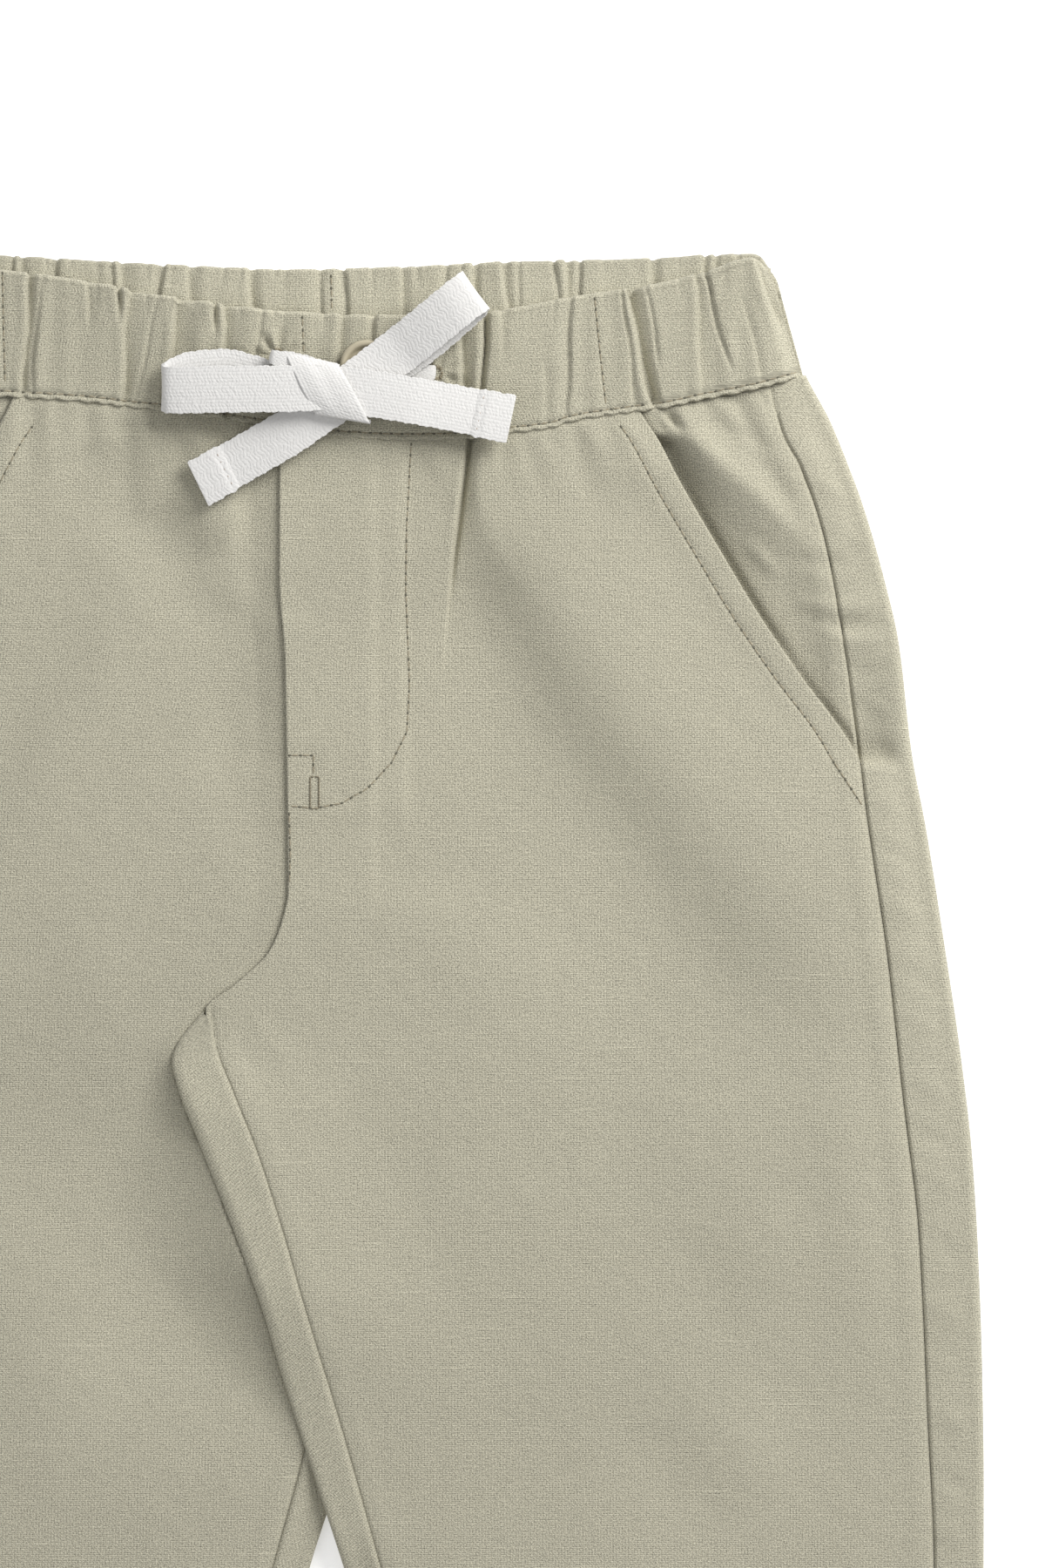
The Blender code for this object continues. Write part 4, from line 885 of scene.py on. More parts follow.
def panel_drops(seam, start):
    """Drops of a panel's rows: from the band's seam, then level rows down to the hem."""
    head = np.linspace(0, 1, HEAD_ROWS, endpoint=False)[:, None] ** 1.15
    top = mix(seam[None, :], ROWS_START, head)
    rest = spread((ROWS_START, 380, LENGTH - 26, LENGTH), (184, 68, 18))[:, None]
    nominal = np.concatenate((mix(start, ROWS_START, head), rest))
    return np.concatenate((top, rest + np.zeros_like(seam)[None, :])), nominal


def front_grid(leg):
    """x and drop of a front's grid, closer at its edges."""
    close_in = np.linspace(0, 8, 14)
    close_out = np.linspace(14, 0, 20)
    table = UPPER_FRONT_EDGE if leg > 0 else LOWER_FRONT_EDGE
    _, nominal = panel_drops(np.zeros(1), FRONT_TOP_DROP)
    tuck = 0.0 if leg > 0 else 6.0 * fading(165, 178, nominal)
    rise = read_table(table, nominal) - tuck + (0.0 if leg > 0 else 0.2)
    inner = np.where(nominal < CROTCH_DROP, rise, read_table(INSEAM, nominal))
    inner = inner - 1.8 * bell(nominal - 211.0, 6.0) * (nominal > CROTCH_DROP - 3)
    outer = np.where(nominal < POCKET_END_DROP, read_table(POCKET_EDGE, nominal),
                     read_table(SIDE_SEAM, nominal))
    tuck_x = np.maximum(tuck_edge(nominal), inner + 14)
    sides = np.concatenate((
        inner + close_in, mix(inner + 8, tuck_x - 3, np.linspace(0, 1, 27)[1:]),
        tuck_x + np.linspace(-3, 3, 19)[1:], mix(tuck_x + 3, outer - 14, np.linspace(0, 1, 62)[1:-1]),
        outer - close_out), axis=1)
    x = leg * sides
    seam = read_table(FRONT_BAND_SEAM, x[0]) - SEAM_GAP
    drops, _ = panel_drops(seam, FRONT_TOP_DROP)
    return x, drops


def build_front(hand, leg, cloth):
    x, drop = front_grid(leg)
    z = front_height(x, drop, leg)
    if leg < 0:
        cover = front_height(x, drop, 1) - 1.15
        hidden = smooth_step(-14.0, -12.6, x) * fading(176, 188, drop)
        z = mix(z, np.minimum(z, cover), hidden)
    piece = grid_object(f"linen_front_{hand}", x, drop, z, cloth, sizes().cloth_thickness, ((40, 60), True))
    settle(piece, "linen", f"front_{hand}")
    declare_cloth(x, drop, z)


def underside_lift(side, drop, leg):
    """How far the back's underside lifts off the surface in its folds and below its gathers."""
    folds = crease_height(BACK_FOLDS, leg * side, drop)
    gathered = np.exp(-np.clip(drop - 38.0, 0, 90) / 14.0)
    return folds + gathered * (0.45 + 0.4 * np.sin(0.62 * side + 1.4 * np.sin(0.21 * side + leg)))


def back_rows(leg):
    """The lines along one back, by its rows' drops: its start, both folds and its side seam."""
    drop = panel_drops(np.zeros(1), BACK_TOP_DROP)[1]
    fold = read_table(INNER_EDGE, drop) + EDGE_RADIUS
    wrapped = smooth_step(CROTCH_DROP - 6, CROTCH_DROP + 2, drop)
    start = read_table(UPPER_BACK_START if leg > 0 else LOWER_BACK_START, drop)
    start = np.where(drop < 210, mix(start, fold, wrapped), fold)
    outer = read_table(OUTER_EDGE, drop) - SIDE_RADIUS
    return BackRows(leg, drop, fold, start, outer, read_table(SIDE_SEAM, drop), wrapped)


def back_base(rows, side):
    """Height that a back's underside rests on: the surface, or the leg that it covers."""
    if rows.leg < 0:
        return np.zeros_like(side)
    return lift(rows.leg * side, rows.drop) + 0.85 * inner_raise(side, rows.drop)


def inner_wrap(rows):
    """Sides and heights of the columns of the inseam's strip and round the inner edge."""
    arc = math.pi * EDGE_RADIUS
    strip = np.maximum(read_table(INSEAM, rows.drop) + 0.15 - rows.fold, 0.0)
    strip = np.where(rows.drop > CROTCH_DROP, strip, 0.0)
    turn = arc * read_table(INNER_TURN, rows.drop)
    centre = back_base(rows, rows.fold) + EDGE_RADIUS
    for k, part in enumerate(INNER_PARTS):
        flat_side = rows.start + INNER_STEP * k
        length = turn + strip * (part - 1) if part > 1 else turn * part
        on_strip = length > arc - 0.01
        strip_side = rows.fold + length - arc
        angle = np.minimum(length, arc) / EDGE_RADIUS
        side = np.where(on_strip, strip_side, rows.fold - 1.5 * EDGE_RADIUS * np.sin(angle) ** 0.5)
        top = inner_strip_height(np.maximum(strip_side, rows.fold), rows.drop, rows.leg)
        height = np.where(on_strip, top, centre - EDGE_RADIUS * np.cos(angle))
        yield mix(flat_side, side, rows.wrapped), mix(back_base(rows, flat_side), height, rows.wrapped)


def underside(rows):
    """Sides and heights of the columns that lie under the leg."""
    start = mix(rows.start + INNER_STEP * INNER_PARTS.size, rows.start, rows.wrapped)
    for part in np.concatenate((np.linspace(0, 0.04, 6), np.linspace(0.04, 1, 44)[1:]))[1:]:
        side = mix(start, rows.outer, part)
        inside = smooth_step(0, 12, rows.outer - side) * smooth_step(0, 12, side - rows.fold)
        yield side, (back_base(rows, side) + inside * underside_lift(side, rows.drop, rows.leg)
                     + 0.5 * bell(side - start, 0.9) * (1.0 - rows.wrapped))


def side_wrap(rows):
    """Sides and heights of the columns round the outer edge."""
    for angle in np.linspace(0, math.pi, 13)[1:]:
        height = np.full_like(rows.outer, SIDE_RADIUS * (1 - np.cos(angle)))
        yield rows.outer + SIDE_RADIUS * np.sin(angle), height


def side_strip(rows):
    """Sides and heights of the columns on the strip between the outer edge and the side seam."""
    for part in np.concatenate((np.linspace(0, 0.8, 12), np.linspace(0.8, 1, 9)[1:]))[1:]:
        side = mix(rows.outer, rows.seam, part)
        yield side, side_strip_height(side, rows.drop, rows.leg)


def back_grid(leg):
    """The back from the inseam's strip, round the inner edge, under the leg and over the outer edge."""
    rows = back_rows(leg)
    columns = [*inner_wrap(rows), *underside(rows), *side_wrap(rows)]
    on_top = len(columns)
    columns += side_strip(rows)
    x = leg * np.concatenate([side for side, _ in columns], axis=1)
    z = np.concatenate([height for _, height in columns], axis=1)
    turned = np.arange(x.shape[1]) >= on_top - 6
    seam_drop = np.where(turned, read_table(FRONT_BAND_SEAM, x[0]) - SEAM_GAP,
                         read_table(BACK_BAND_SEAM, x[0]))
    drops, _ = panel_drops(seam_drop, BACK_TOP_DROP)
    down = np.clip(drops - (LENGTH - 2.0), 0.0, 2.0)
    return x, drops, z - np.where(z > 2.5, 0.25 * down**2, 0.0)


def build_back(hand, leg, cloth):
    x, drop, z = back_grid(leg)
    piece = grid_object(f"linen_back_{hand}", x, drop, z, cloth, sizes().cloth_thickness, ((60, 36), False),
                        turned_columns=BACK_TURNED_COLUMNS, turn=leg * BACK_WEAVE_TURN)
    settle(piece, "linen", f"back_{hand}")
    declare_cloth(x, drop, z)


def build_hip_piece(hand, leg, cloth):
    nominal = spread((40, ROWS_START, 142), (HEAD_ROWS, 82))[:, None]
    opening = read_table(POCKET_EDGE, nominal)
    seam = read_table(SIDE_SEAM, nominal)
    side = mix(opening - 9.0, seam, np.concatenate((np.linspace(0, 0.9, 40), np.linspace(0.9, 1, 9)[1:])))
    top = read_table(FRONT_BAND_SEAM, leg * side[0]) - SEAM_GAP
    head = np.linspace(0, 1, HEAD_ROWS, endpoint=False)[:, None]
    below_head = np.broadcast_to(nominal[HEAD_ROWS:], side[HEAD_ROWS:].shape)
    drop = np.concatenate((mix(top[None, :], ROWS_START, head), below_head))
    z = hip_piece_height(side, drop)
    under_front = front_height(leg * side, drop, leg) - 1.9
    z = np.where(side < read_table(POCKET_EDGE, drop) + 0.4, np.minimum(z, under_front), z)
    z = np.maximum(z, HIP_FLOOR)
    piece = grid_object(f"linen_hip_{hand}", leg * side, drop, z, cloth, sizes().cloth_thickness,
                        ((60, 20), True))
    settle(piece, "linen", f"pocket_panel_{hand}")
    declare_cloth(leg * side, drop, z)


def band_grid(top_table, seam_table, height, under, puckers, radius, half_width):
    """A band's tube, open at the seam: its underside, its rounded top edge, its upper side."""
    share = np.linspace(-1, 1, BAND_COLUMNS)
    over = spread((0.02, 0.9, 1.0), BAND_OVER_ROWS)
    across = np.concatenate((np.linspace(0.98, 0.1, BAND_UNDER_ROWS), np.zeros(BAND_EDGE_ROWS), over))
    angles = np.concatenate((np.full(BAND_UNDER_ROWS, math.pi), np.linspace(math.pi, 0, BAND_EDGE_ROWS),
                             np.zeros(over.size)))
    rows_across = across[:, None] + 0 * share
    x = share * (half_width + BAND_FLARE * rows_across)
    drop = mix(read_table(top_table, x), read_table(seam_table, x), rows_across)
    top = height(x, rows_across)
    low = under(x, rows_across)
    turn = angles[:, None]
    z = mix(low, top, (1 + np.cos(turn)) / 2)
    at_edge = fading(0.0, 0.1, rows_across)
    at_seam = smooth_step(0.8, 1.0, rows_across) * (angles[:, None] < 1.0)
    drop = drop - radius * np.sin(turn) + 0.9 * radius * fading(0.0, 0.06, rows_across)
    drop = drop - 0.32 * at_edge * puckers(x, rows_across)
    end = half_width + BAND_FLARE * rows_across
    rounded_end = smooth_step(end - 4.6, end, np.abs(x)) ** 2
    drop = drop + 2.8 * rounded_end * fading(0.0, 0.22, rows_across)
    return x, drop + at_seam * (0.22 * np.sin(1.3 * x + np.sin(0.31 * x)) - 0.1), z


def build_front_band(cloth):
    def under(x, across):
        return np.maximum(front_band_height(x, across) - 2.9, 2.7)

    def puckers(x, across):
        return band_creases(FRONT_PLEATS, x, across)

    x, drop, z = band_grid(FRONT_BAND_TOP, FRONT_BAND_SEAM, front_band_height, under, puckers, 1.2,
                           WAIST_HALF)
    z[-1] -= 0.6
    piece = grid_object("linen_band_front", x, drop, z, cloth, sizes().cloth_thickness, ((40, 190), True))
    settle(piece, "linen", "waistband_front")
    declare_cloth(x, drop, z)


def build_back_band(cloth):
    def under(x, across):
        creased = np.clip(-band_creases(BACK_PLEATS, x, across), 0.0, 1.2)
        return np.clip(0.05 + 0.8 * creased, 0.05, back_band_height(x, across) - 1.4)

    def puckers(x, across):
        return 1.3 * band_creases(BACK_PLEATS, x, across)

    x, drop, z = band_grid(BACK_BAND_TOP, BACK_BAND_SEAM, back_band_height, under, puckers, 1.1,
                           WAIST_HALF + 0.9)
    piece = grid_object("linen_band_back", x, drop, z, cloth, sizes().cloth_thickness, ((40, 190), True))
    settle(piece, "linen", "waistband_back")
    declare_cloth(x, drop, z)


# ---- sewing ----

def resample(points, pitch):
    """Middles and unit directions of stitches along a line through the points, at an even pitch."""
    line = np.array(points, float)
    runs = np.hypot(*(line[1:] - line[:-1]).T)
    at = np.concatenate(([0.0], np.cumsum(runs)))
    count = max(int(at[-1] / pitch), 1)
    middles = (np.arange(count) + 0.5) * at[-1] / count
    near = 0.8

    def read(distance):
        return np.stack([np.interp(distance, at, line[:, n]) for n in (0, 1)], -1)

    ways = read(np.minimum(middles + near, at[-1])) - read(np.maximum(middles - near, 0))
    return read(middles), ways / np.hypot(*ways.T)[:, None]


def add_stitches(work, points, height, rise=0.02, radius=0.24, length=None, pitch=None):
    """Rounded stitches laid along a line on the surface that height(x, drop) gives."""
    length = length or sizes().stitch_length / MM
    middles, ways = resample(points, pitch or sizes().stitch_pitch / MM)
    for k, (middle, way) in enumerate(zip(middles, ways)):
        half = way * length / 2
        ends = [middle - half, middle + half]
        z0, z1 = (float(height(np.array([e[0]]), np.array([e[1]]))[0]) for e in ends)
        sway = 0.12 * math.sin(2.9 * k)
        a = Vector((ends[0][0], to_y(ends[0][1]) + sway, z0 + rise))
        b = Vector((ends[1][0], to_y(ends[1][1]) - sway, z1 + rise))
        turn = (b - a).to_track_quat("X", "Z").to_matrix().to_4x4()
        shape = Matrix.Diagonal(((b - a).length / 2, radius, radius * 0.85, 1.0))
        place = Matrix.Scale(MM, 4) @ Matrix.Translation((a + b) / 2)
        bmesh.ops.create_uvsphere(work, u_segments=8, v_segments=6, radius=1.0, matrix=place @ turn @ shape)


def finish_sewing(name, work, finish, slot):
    bmesh.ops.recalc_face_normals(work, faces=work.faces[:])
    mesh = mesh_from(name, work)
    mesh.shade_smooth()
    return settle(show_mesh(name, mesh, finish), slot)


def front_surface(leg):
    return lambda x, drop: front_height(x, drop, leg)


def share_of_band(top_table, seam_table, x, drop):
    top = read_table(top_table, x)
    return (drop - top) / (read_table(seam_table, x) - top)


def band_surface(x, drop):
    return front_band_height(x, share_of_band(FRONT_BAND_TOP, FRONT_BAND_SEAM, x, drop))


def back_band_surface(x, drop):
    return back_band_height(x, share_of_band(BACK_BAND_TOP, BACK_BAND_SEAM, x, drop))


def stitch_lines():
    """Every line of topstitching: its points, its surface, and how far it stands out of it."""
    lines = [(line, front_surface(1), 0.02) for line in (FLY_STITCH, FLY_SHELF_STITCH, CROTCH_STITCH)]
    for leg in (1, -1):
        drops = np.linspace(48, 150, 30)
        drops = drops[drops < 140]
        pocket = list(zip(leg * (read_table(POCKET_EDGE, drops) - POCKET_STITCH_IN), drops))
        lines.append((pocket + [(leg * 147.8, 152.6)], front_surface(leg), 0.02))
        hem = [(leg * side, LENGTH - HEM_DEPTH) for side in np.linspace(56, 161, 12)]
        lines.append((hem, front_surface(leg), 0.1))
    seam_x = np.linspace(-130, 130, 90)
    seam = zip(seam_x, read_table(FRONT_BAND_SEAM, seam_x) - 1.8)
    lines.append((list(seam), band_surface, 0.06))
    lines += [(line, band_surface, 0.0) for line in (BAND_JOIN_RIGHT, BAND_JOIN_LEFT, BAND_PLEAT_STITCH)]
    return lines + [(BACK_JOIN_STITCH, back_band_surface, 0.0)]


def slid_back(points, distance):
    """A line whose two ends are slid back along it."""
    line = np.array(points, float)
    first, last = line[1] - line[0], line[-1] - line[-2]
    return [line[0] - first / np.hypot(*first) * distance, *line[:-1],
            line[-1] - last / np.hypot(*last) * distance]


def build_topstitching(thread, hollow):
    """Each stitch dips at its ends to a small dark mark: painted shadow at the needle hole."""
    stitched, shadow_marks = bmesh.new(), bmesh.new()
    half_pitch = sizes().stitch_pitch / MM / 2
    for points, surface, rise in stitch_lines():
        add_stitches(stitched, points, surface, rise=rise + 0.06, radius=0.2)
        between = slid_back(points, half_pitch)
        # Dark ellipsoids between the stitches: painted shadow where the needle holes sink into the cloth.
        add_stitches(shadow_marks, between, surface, rise=rise + 0.02, radius=0.3, length=1.0)
    finish_sewing("topstitching", stitched, thread, "linen")
    finish_sewing("painted_stitch_shadows", shadow_marks, hollow, "linen")


def build_bar_tack(thread):
    work = bmesh.new()
    for line in BAR_TACK:
        add_stitches(work, line, front_surface(1), rise=0.1, radius=0.26, length=0.95, pitch=0.8)
    finish_sewing("bar_tack", work, thread, "linen")


def build_eyelets(thread):
    work = bmesh.new()
    for eye in EYELETS:
        for turn in np.linspace(0, 2 * math.pi, EYELET_STITCHES, endpoint=False):
            way = np.array((math.cos(turn), 1.3 * math.sin(turn)))
            inner = np.array(eye) + way * EYELET_HOLE
            outer = np.array(eye) + way * EYELET_RIM
            add_stitches(work, (inner, outer), band_surface, rise=0.05, radius=0.2,
                         length=float(np.hypot(*(outer - inner))), pitch=SINGLE_STITCH)
    finish_sewing("eyelets", work, thread, "linen")


# ---- button and drawstring ----

def build_button(resin, thread):
    """A turned disc with a rounded rim and a shallow dish, sewn on with crossed thread; its four holes are
    not made.
    """
    profile = ((0.0, 1.35), (3.9, 1.3), (4.6, 0.9), (5.1, 0.8), (5.35, 2.0), (5.8, 2.45),
               (6.3, BUTTON_HEIGHT), (6.9, 2.35), (BUTTON_RADIUS, 1.7), (7.0, 0.9), (6.3, 0.3),
               (5.0, 0.05), (0.0, 0.0))
    work = bmesh.new()
    verts = [work.verts.new((r * MM, 0.0, z * MM)) for r, z in profile]
    edges = [work.edges.new(pair) for pair in zip(verts, verts[1:])]
    bmesh.ops.spin(work, geom=verts + edges, cent=(0, 0, 0), axis=(0, 0, 1),
                   angle=2 * math.pi, steps=72, use_merge=True)
    bmesh.ops.remove_doubles(work, verts=work.verts[:], dist=0.000005)
    move = Vector((BUTTON_X * MM, to_y(BUTTON_DROP) * MM, BUTTON_BASE * MM))
    bmesh.ops.translate(work, verts=work.verts[:], vec=move)
    button = finish_sewing("resin_button", work, resin, "button_resin")
    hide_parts("button")
    sewn = bmesh.new()
    for a, b in (((-1.4, -1.4), (1.4, 1.4)), ((-1.4, 1.4), (1.4, -1.4))):
        line = ((BUTTON_X + a[0], BUTTON_DROP + a[1]), (BUTTON_X + b[0], BUTTON_DROP + b[1]))
        add_stitches(sewn, line, lambda x, drop: BUTTON_BASE + 1.4 + 0 * x, rise=0.25, radius=0.4,
                     length=4.2, pitch=SINGLE_STITCH)
    finish_sewing("button_thread", sewn, thread, "button_resin")


def tape_line(ways, steps):
    """Smooth middle line, width direction and width of a tape, evenly spaced along its length."""
    table = np.array([(w.x, w.drop, w.z, math.cos(math.radians(w.width_angle)),
                       math.sin(math.radians(w.width_angle)), w.width) for w in ways])
    runs = np.linalg.norm(np.diff(table[:, :3], axis=0), axis=1)
    at = np.concatenate(([0.0], np.cumsum(runs)))
    fine = np.linspace(0, at[-1], steps)
    return np.stack([read_table(list(zip(at, table[:, n])), fine) for n in range(6)], -1)


def build_tape(name, ways, cotton, nodes):
    """A woven tape: slightly domed across, with uneven selvedges, and a folded hem at its end."""
    line = tape_line(ways, TAPE_ROWS)
    middle = line[:, :3] * (1, -1, 1)
    tangent = np.gradient(middle, axis=0)
    tangent /= np.linalg.norm(tangent, axis=1)[:, None]
    across = np.stack((line[:, 3], line[:, 4], 0 * line[:, 3]), -1)
    across /= np.linalg.norm(across, axis=1)[:, None]
    normal = np.cross(tangent, across)
    normal /= np.linalg.norm(normal, axis=1)[:, None]
    share = np.linspace(-1, 1, 25)
    count = np.arange(TAPE_ROWS)[:, None]
    selvedge = np.abs(share) ** 6 * np.sign(share)
    wave = (0.13 * np.sin(count * 2.1) + 0.1 * np.sin(count * 0.83 + 2 * share)) * selvedge
    half = line[:, 5:6] / 2
    dome = -0.35 * share**2
    run = np.linspace(0, 1, TAPE_ROWS) * float(np.linalg.norm(np.diff(middle, axis=0), axis=1).sum())
    from_hem = run - (run[-1] - TAPE_HEM)
    hem = smooth_step(-1.5, -0.7, from_hem)
    stitched = bell(from_hem, 0.7)
    out = dome[None, :] * 0.6 + (0.7 * hem - 0.35 * stitched)[:, None]
    half = half + (0.3 * hem + 0.12 * hem * np.sin(1.7 * run))[:, None]
    upward = normal * np.where(normal[:, 2:3] < 0, -1, 1)
    sideways = share * half + wave
    points = (middle[:, None, :] + across[:, None, :] * sideways[:, :, None]
              + upward[:, None, :] * out[:, :, None])
    weave = np.stack(np.broadcast_arrays(share * TAPE_WIDTH / 2 * MM, run[:, None] * MM), -1)
    piece = grid_object(name, points[..., 0], -points[..., 1], points[..., 2], cotton,
                        sizes().tape_thickness, ((2, 12), True), weave=weave, offset=0.0)
    shift = to_y(0) * MM
    path = [(float(p[0]) * MM, float(p[1]) * MM + shift, float(p[2]) * MM) for p in middle[::3]]
    path.append(tuple(float(v) for v in (middle[-1] * MM + (0, shift, 0))))
    settle(piece, "cotton_tape", *nodes)
    rounded = piece.modifiers.new("rounding", "BEVEL")
    rounded.width = 0.0003
    rounded.segments = 2
    rounded.limit_method = "ANGLE"
    rounded.angle_limit = math.radians(60)
    start = ways[0]
    return piece, path, run[-1] * MM, (start.x * MM, to_y(start.drop) * MM, start.z * MM)


def build_knot(cotton):
    """The turn of tape over the middle of the bow, arched and drawn in at its ends."""
    rows, columns = 60, 30
    share = np.linspace(0, 1, columns)[None, :]
    down = np.linspace(-0.12, 1.1, rows)[:, None]

    def side(points, n):
        line = np.array(points, float)
        return np.interp(down[:, 0], (-0.12, 0.0, 0.5, 1.0, 1.1),
                         (line[0, n], line[0, n], line[1, n], line[2, n], line[2, n]))[:, None]

    x = mix(side(KNOT_LEFT_SIDE, 0), side(KNOT_RIGHT_SIDE, 0), share)
    drop = mix(side(KNOT_LEFT_SIDE, 1), side(KNOT_RIGHT_SIDE, 1), share)
    arch = np.clip(np.sin(math.pi * np.clip(0.1 + 0.8 * down, 0, 1)), 0, 1) ** 0.4
    arch = arch * fading(0.0, 0.12, -down) * fading(1.0, 1.1, down)
    z = mix(11.8, 16.6, arch) - 0.3 * (1.0 - share) ** 4 - 0.5 * share**6
    z = z + 0.15 * bell(share - 0.3 - 0.1 * down, 0.2) - 0.12 * bell(share - 0.62 + 0.15 * down, 0.14)
    weave = np.stack(np.broadcast_arrays(share * TAPE_WIDTH * MM, down * 20 * MM), -1)
    knot = grid_object("tape_turn", x, drop, z, cotton, sizes().tape_thickness, ((30, 15), True),
                       weave=weave)
    return settle(knot, "cotton_tape", "tape_knot")


def build_drawstring(cotton, thread):
    right, right_path, right_length, right_exit = build_tape(
        "tape_right", RIGHT_CORD, cotton, ("tape_lead_right", "tape_loop_right", "tape_tail_left"))
    left, left_path, left_length, left_exit = build_tape(
        "tape_left", LEFT_CORD, cotton, ("tape_lead_left", "tape_loop_left", "tape_tail_right"))
    knot = build_knot(cotton)
    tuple(right_exit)
    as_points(right_path)
    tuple(left_exit)
    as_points(left_path)
    work = bmesh.new()
    for ways in (RIGHT_CORD, LEFT_CORD):
        line = tape_line(ways, TAPE_ROWS)
        runs = np.linalg.norm(np.diff(line[:, :3], axis=0), axis=1)
        to_end = runs.sum() - np.concatenate(([0.0], np.cumsum(runs)))
        spot = line[np.argmin(np.abs(to_end - TAPE_HEM))]
        across = np.array((spot[3], -spot[4]))
        side = across * 5.4
        add_stitches(work, (spot[:2] - side, spot[:2] + side), lambda x, drop: spot[2] + 0.88 + 0 * x,
                     rise=0.0, radius=0.16, length=0.6, pitch=1.9)
    finish_sewing("tape_stitches", work, thread, "cotton_tape")


# ---- finishes ----

class Tree:
    """Short ways to add nodes to one material."""

    def __init__(self, name):
        self.material = bpy.data.materials.new(name)
        self.material.use_nodes = True
        self.nodes = self.material.node_tree.nodes
        self.links = self.material.node_tree.links
        self.shader = self.nodes["Principled BSDF"]

    def add(self, kind, inputs=(), **settings):
        node = self.nodes.new(kind)
        for key, value in settings.items():
            setattr(node, key, value)
        for key, value in dict(inputs).items():
            self.put(node.inputs[key], value)
        return node

    def put(self, socket, value):
        if isinstance(value, bpy.types.NodeSocket):
            self.links.new(value, socket)
        else:
            socket.default_value = value

    def maths(self, operation, *values):
        node = self.nodes.new("ShaderNodeMath")
        node.operation = operation
        for socket, value in zip(node.inputs, values):
            self.put(socket, value)
        return node.outputs[0]

    def centred(self, value, amount):
        """How far a value from 0 to 1 lies from its middle, times an amount."""
        return self.maths("MULTIPLY", self.maths("SUBTRACT", value, 0.5), amount)

    def ramp(self, value, low, high):
        """0 below the lower value, 1 above the higher one."""
        node = self.add("ShaderNodeMapRange", {"Value": value, "From Min": low, "From Max": high})
        return node.outputs[0]

    def noise(self, vector, scale, detail=2.0, roughness=0.5):
        node = self.add("ShaderNodeTexNoise", {"Vector": vector, "Scale": scale, "Detail": detail,
                                               "Roughness": roughness})
        return node.outputs["Fac"]

    def blend(self, factor, a, b, blend_type="MIX"):
        node = self.add("ShaderNodeMix", data_type="RGBA", blend_type=blend_type)
        self.put(node.inputs[0], factor)
        self.put(node.inputs[6], a)
        self.put(node.inputs[7], b)
        return node.outputs[2]

    def combine(self, x, y, z=0.0):
        return self.add("ShaderNodeCombineXYZ", {"X": x, "Y": y, "Z": z}).outputs[0]

    def bump(self, height, distance, strength, normal=None):
        node = self.add("ShaderNodeBump", {"Height": height, "Distance": distance, "Strength": strength})
        if normal is not None:
            self.put(node.inputs["Normal"], normal)
        return node.outputs[0]


def shade(colour, strength):
    return tuple(strength * part for part in colour)


